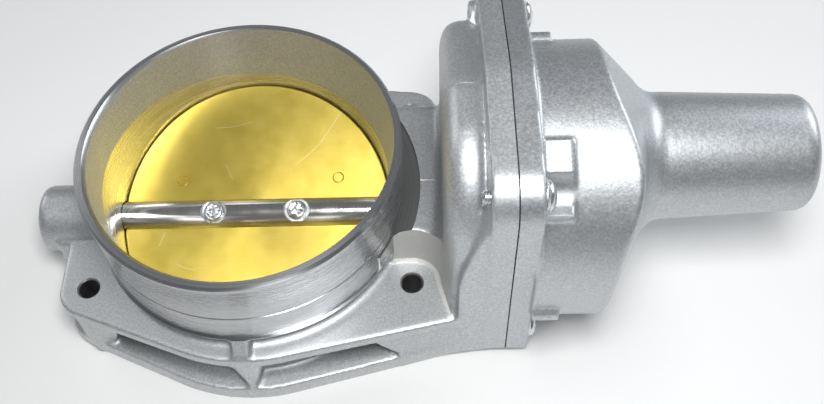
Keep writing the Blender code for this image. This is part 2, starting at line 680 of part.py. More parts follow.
def cover_screw(name, centre):
    """A domed screw whose end shows behind the body flange."""
    head = COVER_FLANGE_RIGHT + 0.2
    screw = turned(name, "X", centre, [
        (72.2, 0), (72.2, 1.5), (72.8, 2.1), (head, 2.1), (head, 4.7), (head + 1.0, 4.7),
        (head + 2.3, 3.9), (head + 3.1, 2.2), (head + 3.3, 0)], 16)
    half = 1.3
    y, z = centre
    return cut(screw, box("recess", (head + 1.7, y - half, z - half), (head + 5, y + half, z + half)))


# ---------------------------------------------------------------- motor

def motor_can():
    """A drawn steel cup, open towards the gears, with a hole for the rear bushing."""
    inside, rounding, hole = CAN_R - CAN_WALL, 1.6, 2.6
    return turned("motor_can", "X", MOTOR, [
        (CAN_START, inside), (CAN_START, CAN_R), (CAN_END - rounding, CAN_R), (CAN_END, CAN_R - rounding),
        (CAN_END, hole), (CAN_END - CAN_WALL, hole), (CAN_END - CAN_WALL, CAN_R - rounding),
        (CAN_END - 1.8, inside)], 32)


def motor_end_plate():
    start, end = END_PLATE_X
    ears = hull([(MOTOR, CAN_R), *[(centre, 4.2) for centre in MOTOR_SCREWS]], 32)
    plate = prism("motor_end_plate", "X", start, end, ears)
    join(plate, cylinder("spigot", "X", MOTOR, end - 0.6, end + 1.1, CAN_R - CAN_WALL - 0.4, 32))
    return cut(plate, cylinder("bushing_seat", "X", MOTOR, 100, 110, 4.3, 20),
               *[cylinder("hole", "X", centre, 100, 110, 1.9, 12) for centre in MOTOR_SCREWS])


def magnet(name, start, end):
    inner, outer = MAGNET_R
    return prism(name, "X", *MAGNET_X, arc(MOTOR, outer, start, end, 10) + arc(MOTOR, inner, end, start, 10))


def armature():
    """The laminated core: slotted poles round the motor shaft."""
    outline = []
    step = 360 / POLES
    for k in range(POLES):
        outline += arc(MOTOR, CORE_R, step * k - 30, step * k + 30, 4)
        outline += arc(MOTOR, CORE_SLOT_R, step * k + 33, step * k + 39, 1)
    core = prism("armature_core", "X", *CORE_X, outline)
    return cut(core, cylinder("bore", "X", MOTOR, 100, 170, MOTOR_SHAFT_R + GAP, 16))


def brush(name, side):
    """A carbon block on the commutator; side is 1 above the motor's axis and -1 below it."""
    near, far = COMMUTATOR_R + GAP, 9.5
    low, high = sorted((NOSE_Z + side * near, NOSE_Z + side * far))
    return box(name, (111.2, -1.6, low), (115.6, 1.6, high))


# ---------------------------------------------------------------- sensor and connector

def position_sensor():
    """A board with a sensing post over the shaft's magnet and a tail to the connector."""
    board = box("position_sensor", (96.6, -9, 14), (98.6, 20, 31))
    join(board, cylinder("post", "X", SHAFT, 88.2, 97, 4.5, 24))
    return board


def connector_housing():
    shell = box("connector_housing", (93.1, 39.6, 4.4), (107.1, 42.6, 31.6))
    join(shell, box("shroud", (94.3, 42, 11.2), (105.9, 57, 24.8)),
         box("tongue", (95.7, 30.5, 13.4), (104.5, 40, 22.6)),
         box("latch", (98.1, 42, 24), (102.1, 52, 26.2)))
    cut(shell, box("socket", (95.4, 45, 12.3), (104.8, 58, 23.7)),
        *[box("slot", (x - 0.8, 20, z - 0.8), (x + 0.8, 60, z + 0.8)) for x, z in PINS],
        *[cylinder("hole", "Y", centre, 30, 60, 1.6, 12) for centre in CONNECTOR_SCREWS])
    return shell


def small_screw(name, axis, centre, head, tip, shank):
    """A pan-headed screw: the head's flat is at head and the end of the shank at tip."""
    out = 1 if head > tip else -1
    return turned(name, axis, centre, [(tip, 0), (tip, shank), (head, shank), (head, shank * 2),
                                       (head + out * 1.2, shank * 1.8), (head + out * 1.6, 0)], 14)


# ---------------------------------------------------------------- assembly

def clear_scene():
    for obj in list(bpy.data.objects):
        bpy.data.objects.remove(obj)


def build():
    clear_scene()
    cast = material("cast_aluminium", (0.55, 0.56, 0.57), 0.9, 0.45)
    brass = material("brass", (0.78, 0.63, 0.18), 1.0, 0.3)
    steel = material("steel", (0.6, 0.6, 0.6), 1.0, 0.25)
    zinc = material("zinc_plate", (0.7, 0.72, 0.75), 1.0, 0.3)
    dark_steel = material("spring_steel", (0.2, 0.2, 0.21), 1.0, 0.35)
    rubber = material("seal_rubber", (0.03, 0.03, 0.03), 0.0, 0.7)
    nylon = material("gear_nylon", (0.75, 0.72, 0.62), 0.0, 0.5)
    plastic = material("black_plastic", (0.05, 0.05, 0.055), 0.0, 0.5)
    copper = material("copper", (0.7, 0.35, 0.2), 1.0, 0.35)
    ferrite = material("ferrite", (0.1, 0.1, 0.11), 0.0, 0.6)

    throttle_axis = axis_at("throttle_axis", *SHAFT)
    idler_axis = axis_at("idler_axis", *IDLER)
    motor_axis = axis_at("motor_axis", *MOTOR)

    keep(body_casting(), cast)
    keep(gear_cover(), cast)
    keep(cover_gasket(), rubber)
    for number, centre in enumerate(COVER_SCREWS, 1):
        keep(cover_screw(f"cover_screw_{number}", centre), zinc)
    for number, centre in enumerate(DOWELS, 1):
        keep(cylinder(f"dowel_pin_{number}", "X", centre, 77, 85.6, 2.0, 14), steel)
    keep(ring("mount_seal", "Z", (0, 0), *MOUNT_SEAL_Z, *MOUNT_SEAL_R, 48), rubber)

    keep(throttle_shaft(), steel, throttle_axis)
    keep(throttle_plate(), brass, throttle_axis)
    keep(plate_screw("plate_screw_left", -PLATE_SCREW_X), zinc, throttle_axis)
    keep(plate_screw("plate_screw_right", PLATE_SCREW_X), zinc, throttle_axis)
    keep(ring("needle_bearing", "X", SHAFT, *NEEDLE_X, SHAFT_R + GAP, NEEDLE_R), steel)
    keep(ring("shaft_seal_left", "X", SHAFT, *SEAL_LEFT_X, SHAFT_R + GAP, SEAL_LEFT_R), rubber)
    keep(ring("shaft_seal_right", "X", SHAFT, *SEAL_RIGHT_X, SHAFT_R + GAP, SEAL_RIGHT_R), rubber)
    keep(race("ball_bearing_outer_race", BEARING_R, 9.0, 9.75), steel)
    keep(race("ball_bearing_inner_race", SHAFT_R + GAP, 7.0, 6.3), steel, throttle_axis)
    keep(ball_set(), steel)
    keep(ring("bearing_circlip", "X", SHAFT, *CIRCLIP_X, 9.6, 11.9), dark_steel)

    keep(sector_gear(), nylon, throttle_axis)
    keep(cylinder("sensor_magnet", "X", SHAFT, 85.2, 87.4, 4.4), ferrite, throttle_axis)
    keep(ring("spring_bushing", "X", SHAFT, 69.4, 75.9, SHAFT_R + GAP, 10.2), plastic, throttle_axis)
    keep(return_spring(), dark_steel)
    keep(turned("closed_stop_screw", "Y", STOP_SCREW, [
        (14.0, 0), (14.0, 1.4), (14.6, 2.0), (48.6, 2.0), (48.6, 0)], 14), zinc)
    keep(idler_gear(), nylon, idler_axis)
    keep(cylinder("idler_pin", "X", IDLER, 69, 99, GEAR_PIN_R, 16), steel)

    keep(motor_can(), zinc)
    keep(motor_end_plate(), zinc)
    for number, centre in enumerate(MOTOR_SCREWS, 1):
        keep(small_screw(f"motor_screw_{number}", "X", centre, 103.4, 112, 1.5), steel)
    keep(ring("motor_front_bushing", "X", MOTOR, *FRONT_BUSHING_X, 2.0, 4.0, 20), brass)
    keep(ring("motor_rear_bushing", "X", MOTOR, *REAR_BUSHING_X, 1.95, 4.5, 20), brass)
    keep(magnet("magnet_front", 110, 250), ferrite)
    keep(magnet("magnet_back", -70, 70), ferrite)
    keep(brush("brush_upper", 1), ferrite)
    keep(brush("brush_lower", -1), ferrite)
    keep(ring("wave_washer", "X", MOTOR, *WAVE_WASHER_X, 10, 13, 24), dark_steel)
    keep(cylinder("motor_shaft", "X", MOTOR, *MOTOR_SHAFT_X, MOTOR_SHAFT_R, 14), steel, motor_axis)
    keep(armature(), dark_steel, motor_axis)
    keep(ring("commutator", "X", MOTOR, *COMMUTATOR_X, MOTOR_SHAFT_R + GAP, COMMUTATOR_R, 20), copper,
         motor_axis)
    keep(pinion(), steel, motor_axis)

    keep(position_sensor(), plastic)
    keep(connector_housing(), plastic)
    for number, (x, z) in enumerate(PINS, 1):
        keep(box(f"terminal_{number}", (x - 0.5, 28, z - 0.5), (x + 0.5, 51, z + 0.5)), copper)
    for number, centre in enumerate(CONNECTOR_SCREWS, 1):
        keep(small_screw(f"connector_screw_{number}", "Y", centre, 42.8, 34, 1.2), zinc)


build()
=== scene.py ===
"""Looks of the electronic throttle body: detailed castings, turned faces, brass plate and studio.

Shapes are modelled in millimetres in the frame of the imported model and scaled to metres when
they are finished. +Z points to the air inlet and +X along the throttle shaft to the motor nose.
"""

import json
import math

import bmesh
import bpy
import numpy as np
from mathutils import Matrix, Vector, geometry


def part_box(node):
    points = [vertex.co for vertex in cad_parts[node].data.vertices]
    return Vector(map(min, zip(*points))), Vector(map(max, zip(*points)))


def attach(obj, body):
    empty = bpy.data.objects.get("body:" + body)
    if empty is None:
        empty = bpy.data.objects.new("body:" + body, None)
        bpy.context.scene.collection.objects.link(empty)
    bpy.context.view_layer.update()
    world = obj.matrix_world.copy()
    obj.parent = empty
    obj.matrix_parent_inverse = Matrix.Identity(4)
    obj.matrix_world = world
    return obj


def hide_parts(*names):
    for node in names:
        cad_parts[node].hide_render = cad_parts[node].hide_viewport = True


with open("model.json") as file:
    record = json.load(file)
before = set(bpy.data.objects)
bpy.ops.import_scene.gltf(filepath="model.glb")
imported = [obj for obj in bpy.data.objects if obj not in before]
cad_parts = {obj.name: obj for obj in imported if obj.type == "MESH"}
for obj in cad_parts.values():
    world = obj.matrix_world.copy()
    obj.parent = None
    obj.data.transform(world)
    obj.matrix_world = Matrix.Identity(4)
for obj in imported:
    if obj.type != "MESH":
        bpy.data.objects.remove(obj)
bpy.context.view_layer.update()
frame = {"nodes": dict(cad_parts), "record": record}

MM = 0.001


def limits(node):
    """The lowest and highest corner of a CAD node, in millimetres."""
    low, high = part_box(node)
    return low / MM, high / MM


BODY_LOW, BODY_HIGH = limits("body_casting")
COVER_LOW, COVER_HIGH = limits("gear_cover")
SHAFT_LOW, SHAFT_HIGH = limits("throttle_shaft")


def middle(node):
    """The middle of a CAD node, in millimetres."""
    low, high = limits(node)
    return (low + high) / 2


# Bore, collar and flanges, as radii and heights
SHAFT_Z = round((SHAFT_LOW.z + SHAFT_HIGH.z) / 2, 2)
SHAFT_R = 5.0
BORE_R = 45.3
RIM_R = 50.0
RIM_TOP = 59.4
COLLAR_BOTTOM = 28.6
NECK_R = 47.9
FLANGE_TOP, FLANGE_R, FLANGE_EAR_R = 6.2, 57.6, 10.2
DECK_BOTTOM, DECK_TOP = 18.0, 22.7
DECK_R, DECK_EAR_R = 55.3, 9.7
COLUMN_R = 8.2                       # round each bolt, between flange and deck
SADDLE_TOP = 36.2
RELIEF_R, RELIEF_Z = 55.4, 35.2      # turned clearance for the hose, cut into the saddle's top
RELIEF_INNER_R = 51.6
MOUTH_Z, MOUTH_R, MOUTH_TOP_R = 57.9, 46.6, 48.9   # chamfer inside the rim
SEAL_GROOVE_DEPTH, SEAL_GROOVE_INNER, SEAL_GROOVE_OUTER = 1.9, 47.2, 51.4
BOLT_X, BOLT_Y_FRONT, BOLT_Y_BACK = 52.1, -28.9, 40.0
BOLTS = tuple((x, y) for x in (-BOLT_X, BOLT_X) for y in (BOLT_Y_FRONT, BOLT_Y_BACK))
BOLT_HOLE_R = 3.3
BOSS_R = 11.2
SHAFT_HOLE_R = SHAFT_R + 0.4
STOP_SCREW_HOLE_R = 2.3
POCKET_LOW, POCKET_LOW_R = (52.3, -28.8), 8.8      # pocket round the front right bolt, at the deck
POCKET_HIGH, POCKET_HIGH_R = (52.5, -26.8), 10.0   # and at the top of the saddle
STOCK = 0.5                                        # left round the collar and in the pocket for machining
PARTING_Y = 1.2                                    # where the halves of the mould met
PLATE_R, PLATE_HALF = 45.0, 0.9                    # half of the plate's thickness
SHAFT_SLOT_HALF = 1.2
PLATE_STRETCH = 1 / math.cos(math.radians(15))     # its long axis, so that it closes at 15 degrees
PLATE_TILT = math.radians(17)                      # at rest
PLATE_SCREWS = (-14.0, 14.0)
PLATE_MARKS = ((-26.0, 12.0), (27.5, 12.0))        # punched circles
HAIRLINES = (          # scratches on the plate: middle (x, y), angle, length in mm, bend per metre
    ((24, 26), 52, 30, 6.0), ((2, -33), 38, 9, 20.0), ((12, -36), 28, 7, -18.0), ((-24, -20), -20, 8, 25.0),
    ((-30, -9), 75, 6, 0.0), ((-8, 30), 8, 16, 5.0), ((31, -24), -35, 5, 30.0), ((-12, 14), -62, 7, 12.0))

# Gear case and cover, as stations along X
CASE_LEFT = 62.3
FLANGE_LEFT = 74.4
BODY_FACE = BODY_HIGH.x
COVER_FACE = COVER_LOW.x
COVER_FLANGE_RIGHT = 88.5
CASE_CORNERS = ((-42.5, 0.5, 3), (-43.5, 88, 12), (2, 90, 30), (46.5, 77.5, 12), (46, 0.5, 6))
BULGE_CORNERS = ((-38.5, 0.5, 16), (-39.5, 83.5, 28), (2, 84.5, 32), (41, 73, 16), (40, 0.5, 16))
CASE_WALL = 3.6
DRUM_Y, DRUM_Z, DRUM_R = -3.5, 43.0, 42.3
DRUM_END = 109.5
DRUM_HOLLOW_R, DRUM_HOLLOW_END = 38.6, 106
CROWN, CROWN_ANGLE, CROWN_WIDTH = 7.0, 127, 30     # the shoulder's bulge along X, and where it is
PAD_ANGLE, PAD_END = 117.0, 97.2
RIB_ANGLES, RIB_END, RIB_R = (49, 195), 95.6, 3.2
NOSE_Y, NOSE_Z = round(middle("motor_shaft").y, 2), round(middle("motor_shaft").z, 2)
NOSE_BASE_R, NOSE_TIP_R = 19.5, 17.7
NOSE_BASE, NOSE_END = 124.0, COVER_HIGH.x
NOSE_HOLLOW_R, NOSE_HOLLOW_END = 15.6, 167.5
COVER_SCREWS = tuple((middle(f"cover_screw_{n}").y, middle(f"cover_screw_{n}").z) for n in (1, 2, 3, 4))
BODY_THREAD_R, COVER_HOLE_R, SCREW_SEAT_R = 2.5, 2.6, 5.4
STOP_SCREW = (middle("closed_stop_screw").x, middle("closed_stop_screw").z)
CONNECTOR_LEFT, CONNECTOR_RIGHT = 93.1, 107.1
CONNECTOR_X = (CONNECTOR_LEFT + CONNECTOR_RIGHT) / 2

# Surface quality
CAST_VOXEL = 0.62      # grid on which the cast skins are rounded
SPIN = 128             # steps round a large turned face

# Camera, in metres
CAMERA_PLACE = (0.05875, -0.17868, 0.29679)
CAMERA_RIGHT = Vector((0.9979, 0.0152, -0.0629))
CAMERA_UP = Vector((0.0230, 0.8253, 0.5642))
LENS, SENSOR_WIDTH = 42.91, 36.0
LENS_SHIFT = (0.0495, -0.0217)


# ---------------------------------------------------------------- mesh tools

def new_object(name, points, faces, look=None):
    """A closed mesh in millimetres with its faces turned outwards."""
    mesh = bpy.data.meshes.new(name)
    mesh.from_pydata([tuple(p) for p in points], [], faces)
    bm = bmesh.new()
    bm.from_mesh(mesh)
    bmesh.ops.remove_doubles(bm, verts=bm.verts, dist=1e-4)
    bmesh.ops.recalc_face_normals(bm, faces=bm.faces)
    bm.to_mesh(mesh)
    bm.free()
    obj = bpy.data.objects.new(name, mesh)
    bpy.context.scene.collection.objects.link(obj)
    if look:
        mesh.materials.append(look)
    return obj


def place(axis, along, u, v):
    """A point at 'along' on the axis; u and v are its other coordinates in X, Y, Z order."""
    if axis == "X":
        return (along, u, v)
    if axis == "Y":
        return (u, along, v)
    return (u, v, along)


def skin(name, rings, look=None):
    """A solid through rings of equal count, with a flat cap at each end."""
    count = len(rings[0])
    points = [p for ring_points in rings for p in ring_points]
    faces = [tuple(range(count)), tuple(range(len(points) - count, len(points)))]
    for base in range(0, len(points) - count, count):
        for i in range(count):
            j = (i + 1) % count
            faces.append((base + i, base + j, base + count + j, base + count + i))
    return new_object(name, points, faces, look)


def loft(name, axis, sections, look=None):
    return skin(name, [[place(axis, s, u, v) for u, v in outline] for s, outline in sections], look)


def prism(name, axis, start, end, outline, look=None):
    return loft(name, axis, [(start, outline), (end, outline)], look)


def turned(name, axis, centre, profile, steps=48, look=None):
    """A lathe shape. profile = [(station, radius), ...]; off the axis it closes on itself."""
    cu, cv = centre
    points, rings = [], []
    for station, radius in profile:
        count = steps if radius > 0 else 1
        rings.append([len(points) + i for i in range(count)])
        for i in range(count):
            a = 2 * math.pi * i / steps
            points.append(place(axis, station, cu + radius * math.cos(a), cv + radius * math.sin(a)))
    pairs = list(zip(rings, rings[1:]))
    if profile[0][1] > 0 and profile[-1][1] > 0:
        pairs.append((rings[-1], rings[0]))
    faces = []
    for a, b in pairs:
        for i in range(steps):
            j = (i + 1) % steps
            corners = (a[i % len(a)], a[j % len(a)], b[j % len(b)], b[i % len(b)])
            faces.append(tuple(dict.fromkeys(corners)))
    return new_object(name, points, faces, look)


def cylinder(name, axis, centre, start, end, radius, steps=48, look=None):
    return turned(name, axis, centre, [(start, 0), (start, radius), (end, radius), (end, 0)], steps, look)


def ring(name, axis, centre, start, end, inner, outer, steps=48, look=None):
    profile = [(start, inner), (start, outer), (end, outer), (end, inner)]
    return turned(name, axis, centre, profile, steps, look)


def box(name, low, high, look=None):
    (x0, y0, z0), (x1, y1, z1) = low, high
    return prism(name, "Z", z0, z1, [(x0, y0), (x1, y0), (x1, y1), (x0, y1)], look)


def baked(obj):
    """The object's mesh with its modifiers applied."""
    bpy.context.view_layer.update()
    graph = bpy.context.evaluated_depsgraph_get()
    mesh = bpy.data.meshes.new_from_object(obj.evaluated_get(graph))
    obj.modifiers.clear()
    obj.data = mesh
    return obj


def combine(target, operation, tools):
    for tool in tools:
        modifier = target.modifiers.new(operation, "BOOLEAN")
        modifier.operation = operation
        modifier.solver = "MANIFOLD"
        modifier.material_mode = "TRANSFER"
        modifier.object = tool
        baked(target)
        bpy.data.objects.remove(tool)
    return target


def join(target, *tools):
    return combine(target, "UNION", tools)


def cut(target, *tools):
    return combine(target, "DIFFERENCE", tools)


def cast(obj, voxel, passes, faces):
    """Gives a sharp solid the rounded edges and fillets of a casting."""
    remesh = obj.modifiers.new("grid", "REMESH")
    remesh.mode = "VOXEL"
    remesh.voxel_size = voxel
    remesh.use_smooth_shade = True
    smooth = obj.modifiers.new("round", "SMOOTH")
    smooth.factor = 0.5
    smooth.iterations = passes
    baked(obj)
    ratio = faces / max(1, 2 * len(obj.data.polygons))
    if ratio < 1:
        thin = obj.modifiers.new("thin", "DECIMATE")
        thin.ratio = ratio
        baked(obj)
    return obj


# ---------------------------------------------------------------- outlines

def arc(centre, radius, start, end, steps):
    """Points on an arc, with angles in degrees."""
    angles = [math.radians(start + (end - start) * i / steps) for i in range(steps + 1)]
    return [(centre[0] + radius * math.cos(a), centre[1] + radius * math.sin(a)) for a in angles]


def hull(circles, steps=96):
    """The convex outline round some circles = [((u, v), radius), ...]."""
    points = [Vector(p) for centre, radius in circles for p in arc(centre, radius, 0, 360, steps)[:-1]]
    return [tuple(points[i]) for i in geometry.convex_hull_2d(points)]


def rounded(corners, inset=0.0, steps=14):
    """A convex outline from (u, v, radius) corners in clockwise order, moved inwards by inset."""
    edges = []
    for i, corner in enumerate(corners):
        a, b = Vector(corner[:2]), Vector(corners[(i + 1) % len(corners)][:2])
        direction = (b - a).normalized()
        edges.append((a + Vector((direction.y, -direction.x)) * inset, direction))
    outline = []
    for i, corner in enumerate(corners):
        (p, d), (q, e) = edges[i - 1], edges[i]
        tip = p + d * ((q - p).cross(e) / d.cross(e))
        radius = max(corner[2] - inset, 0.6)
        half = math.acos(max(-1.0, min(1.0, -d.dot(e)))) / 2
        centre = tip + (e - d).normalized() * (radius / math.sin(half))
        reach = radius / math.tan(half)
        first, last = tip - d * reach - centre, tip + e * reach - centre
        turn = first.angle_signed(last)
        for k in range(steps + 1):
            spoke = first.copy()
            spoke.rotate(Matrix.Rotation(-turn * k / steps, 2))
            outline.append(tuple(centre + spoke))
    return outline


# ---------------------------------------------------------------- materials

class Look:
    """Builds one procedural material, node by node.

    Noise scales are per metre, bump distances in metres.
    """

    def __init__(self, name, colour, metallic, roughness):
        self.material = bpy.data.materials.new(name)
        self.material.use_nodes = True
        self.tree = self.material.node_tree
        self.shader = self.tree.nodes["Principled BSDF"]
        self.shader.inputs["Base Color"].default_value = (*colour, 1)
        self.shader.inputs["Metallic"].default_value = metallic
        self.shader.inputs["Roughness"].default_value = roughness
        self.place = self.node("ShaderNodeTexCoord").outputs["Object"]

    def node(self, kind, **inputs):
        made = self.tree.nodes.new(kind)
        for name, value in inputs.items():
            self.feed(made.inputs[name.replace("_", " ")], value)
        return made

    def feed(self, socket, value):
        if isinstance(value, bpy.types.NodeSocket):
            self.tree.links.new(value, socket)
        else:
            socket.default_value = value

    def scaled(self, scale):
        """Object coordinates stretched by a factor for each axis."""
        return self.node("ShaderNodeMapping", Vector=self.place, Scale=scale).outputs["Vector"]

    def noise(self, scale, detail=3.0, rough=0.5, vector=None):
        made = self.node("ShaderNodeTexNoise", Vector=vector or self.place, Scale=scale,
                         Detail=detail, Roughness=rough)
        return made.outputs["Fac"]

    def ramp(self, value, low, high, to_low=0.0, to_high=1.0):
        made = self.node("ShaderNodeMapRange", Value=value, From_Min=low, From_Max=high,
                         To_Min=to_low, To_Max=to_high)
        return made.outputs["Result"]

    def math(self, operation, a, b=0.0):
        made = self.tree.nodes.new("ShaderNodeMath")
        made.operation = operation
        self.feed(made.inputs[0], a)
        self.feed(made.inputs[1], b)
        return made.outputs["Value"]

    def mix(self, factor, a, b):
        """A colour between a and b."""
        made = self.tree.nodes.new("ShaderNodeMix")
        made.data_type = "RGBA"
        colours = [s for s in made.inputs if s.type == "RGBA"]
        self.feed(made.inputs[0], factor)
        self.feed(colours[0], a if isinstance(a, bpy.types.NodeSocket) else (*a, 1))
        self.feed(colours[1], b if isinstance(b, bpy.types.NodeSocket) else (*b, 1))
        return next(s for s in made.outputs if s.type == "RGBA")

    def around(self, axis):
        """(distance from the axis, place along it, angle): the turned coordinates of a lathe part."""
        parts = self.node("ShaderNodeSeparateXYZ", Vector=self.place).outputs
        others = [parts[k] for k in "XYZ" if k != axis]
        square = self.math("ADD", self.math("MULTIPLY", others[0], others[0]),
                           self.math("MULTIPLY", others[1], others[1]))
        return self.math("SQRT", square), parts[axis], self.math("ARCTAN2", others[1], others[0])

    def vector(self, x, y, z):
        return self.node("ShaderNodeCombineXYZ", X=x, Y=y, Z=z).outputs["Vector"]

    def colour_from(self, socket):
        self.tree.links.new(socket, self.shader.inputs["Base Color"])

    def rough_from(self, socket):
        self.tree.links.new(socket, self.shader.inputs["Roughness"])

    def bump(self, height, distance, strength=1.0):
        before = self.shader.inputs["Normal"].links
        made = self.node("ShaderNodeBump", Height=height, Distance=distance, Strength=strength)
        if before:
            self.tree.links.new(before[0].from_socket, made.inputs["Normal"])
        self.tree.links.new(made.outputs["Normal"], self.shader.inputs["Normal"])


def shade(colour, factor):
    return tuple(c * factor for c in colour)


def blasted(name, colour, grain, rough, speckle, metallic):
    """Shot-blasted cast aluminium: fine dents, light and dark specks and broad cloudiness."""
    look = Look(name, colour, metallic, rough)
    fine = look.noise(grain, 2.0, 0.6)
    coarse = look.noise(grain / 2.0, 2.0, 0.5)
    cloud = look.noise(90.0, 4.0, 0.6)
    specks = look.ramp(fine, 0.38, 0.68)
    base = look.mix(specks, shade(colour, 1 - speckle), shade(colour, 1 + speckle))
    look.colour_from(look.mix(look.ramp(cloud, 0.35, 0.7, 0.0, 0.2), base, shade(colour, 0.88)))
    look.rough_from(look.ramp(coarse, 0.3, 0.7, rough - 0.03, rough + 0.05))
    look.bump(coarse, 0.00003, 0.3)
    look.bump(fine, 0.00004, 0.8)
    return look.material


def machined(name, colour, axis, rough, lines=9000.0, depth=0.5, aniso=0.6):
    """A turned face: tool lines run round the axis, with slow bands of finer and rougher finish."""
    look = Look(name, colour, 1.0, rough)
    radius, along, angle = look.around(axis)
    tool = look.vector(look.math("MULTIPLY", radius, lines), look.math("MULTIPLY", along, lines),
                       look.math("MULTIPLY", angle, 0.6))
    fine = look.noise(1.0, 2.0, 0.7, tool)
    band = look.vector(look.math("MULTIPLY", radius, 700.0), look.math("MULTIPLY", along, 700.0),
                       look.math("MULTIPLY", angle, 0.35))
    bands = look.noise(1.0, 2.0, 0.5, band)
    look.colour_from(look.mix(look.ramp(fine, 0.3, 0.7), shade(colour, 0.9), shade(colour, 1.06)))
    look.rough_from(look.ramp(bands, 0.3, 0.7, rough * 0.75, rough * 1.35))
    look.bump(fine, 0.000008, depth)
    look.shader.inputs["Anisotropic"].default_value = aniso
    look.shader.inputs["Anisotropic Rotation"].default_value = 0.25      # glints run across the tool lines
    tangent = look.tree.nodes.new("ShaderNodeTangent")
    tangent.direction_type = "RADIAL"
    tangent.axis = axis
    look.tree.links.new(tangent.outputs["Tangent"], look.shader.inputs["Tangent"])
    return look.material


def milled(name, colour, rough):
    """A flat face cut by a mill: overlapping sweeps of fine arcs."""
    look = Look(name, colour, 1.0, rough)
    sweep = look.noise(1.0, 2.0, 0.6, look.scaled((900.0, 160.0, 900.0)))
    look.colour_from(look.mix(look.ramp(sweep, 0.3, 0.7), shade(colour, 0.88), shade(colour, 1.05)))
    look.rough_from(look.ramp(sweep, 0.3, 0.7, rough * 0.8, rough * 1.3))
    look.bump(sweep, 0.00001, 0.5)
    return look.material


def brushed_brass(name):
    """Rolled brass sheet: fine lines across the shaft, milky haze, small pits and hairline scratches."""
    colour = (0.70, 0.53, 0.08)
    look = Look(name, colour, 0.9, 0.3)
    lines = look.noise(1.0, 3.0, 0.65, look.scaled((90.0, 3400.0, 2600.0)))
    haze = look.noise(150.0, 5.0, 0.6)
    pits = look.noise(900.0, 1.0, 0.5)
    parts = look.node("ShaderNodeSeparateXYZ", Vector=look.place).outputs
    wander = look.math("MULTIPLY", look.noise(60.0, 1.0, 0.3), 0.004)
    scratches = 0.0
    for (x, y), angle, length, bend in HAIRLINES:
        cos, sin = math.cos(math.radians(angle)), math.sin(math.radians(angle))
        dx, dy = look.math("SUBTRACT", parts["X"], x * MM), look.math("SUBTRACT", parts["Y"], y * MM)
        along = look.math("ADD", look.math("MULTIPLY", dx, cos), look.math("MULTIPLY", dy, sin))
        across = look.math("SUBTRACT", look.math("MULTIPLY", dy, cos), look.math("MULTIPLY", dx, sin))
        curve = look.math("ADD", look.math("MULTIPLY", look.math("MULTIPLY", along, along), bend), wander)
        off = look.math("ABSOLUTE", look.math("SUBTRACT", across, curve))
        line = look.ramp(off, 0.00003, 0.00012, 1.0, 0.0)
        ends = look.ramp(look.math("ABSOLUTE", along), length * MM * 0.35, length * MM * 0.5, 0.7, 0.0)
        scratches = look.math("ADD", scratches, look.math("MULTIPLY", line, ends))
    tone = look.mix(look.ramp(haze, 0.3, 0.8, 0.1, 0.45), colour, (0.78, 0.64, 0.2))
    toned = look.mix(look.ramp(lines, 0.35, 0.65, 0.0, 0.14), tone, shade(colour, 0.74))
    look.colour_from(look.mix(scratches, toned, (0.97, 0.92, 0.66)))
    look.rough_from(look.ramp(haze, 0.3, 0.75, 0.34, 0.4))
    look.bump(lines, 0.00001, 0.35)
    look.bump(look.ramp(pits, 0.68, 0.78), 0.00002, -0.4)
    look.bump(scratches, 0.00002, -0.5)
    look.shader.inputs["Anisotropic"].default_value = 0.3
    return look.material


def ground_steel(name, colour, axis, rough):
    """Ground steel with grinding lines round its axis and faint smudges."""
    look = Look(name, colour, 1.0, rough)
    _, along, angle = look.around(axis)
    lines = look.noise(1.0, 2.0, 0.7, look.vector(look.math("MULTIPLY", along, 5200.0), 0.0,
                                                  look.math("MULTIPLY", angle, 0.5)))
    smudge = look.noise(130.0, 3.0, 0.5)
    look.colour_from(look.mix(look.ramp(lines, 0.3, 0.7), shade(colour, 0.82), shade(colour, 1.05)))
    look.rough_from(look.ramp(smudge, 0.35, 0.7, rough * 0.8, rough * 1.4))
    look.bump(lines, 0.000005, 0.4)
    return look.material


def plated(name, colour, rough):
    """Bright zinc: slightly cloudy, with soft handling marks."""
    look = Look(name, colour, 1.0, rough)
    cloud = look.noise(420.0, 3.0, 0.6)
    look.colour_from(look.mix(look.ramp(cloud, 0.35, 0.7), shade(colour, 0.86), shade(colour, 1.05)))
    look.rough_from(look.ramp(cloud, 0.3, 0.7, rough * 0.7, rough * 1.5))
    look.bump(cloud, 0.00002, 0.3)
    return look.material


def moulded(name, colour, rough, grain=900.0):
    """Moulded plastic or rubber with a fine even grain."""
    look = Look(name, colour, 0.0, rough)
    fine = look.noise(grain, 3.0, 0.6)
    broad = look.noise(60.0, 2.0, 0.5)
    look.colour_from(look.mix(look.ramp(broad, 0.35, 0.7), shade(colour, 0.85), shade(colour, 1.15)))
    look.rough_from(look.ramp(fine, 0.3, 0.7, rough - 0.08, rough + 0.08))
    look.bump(fine, 0.00004, 0.5)
    return look.material


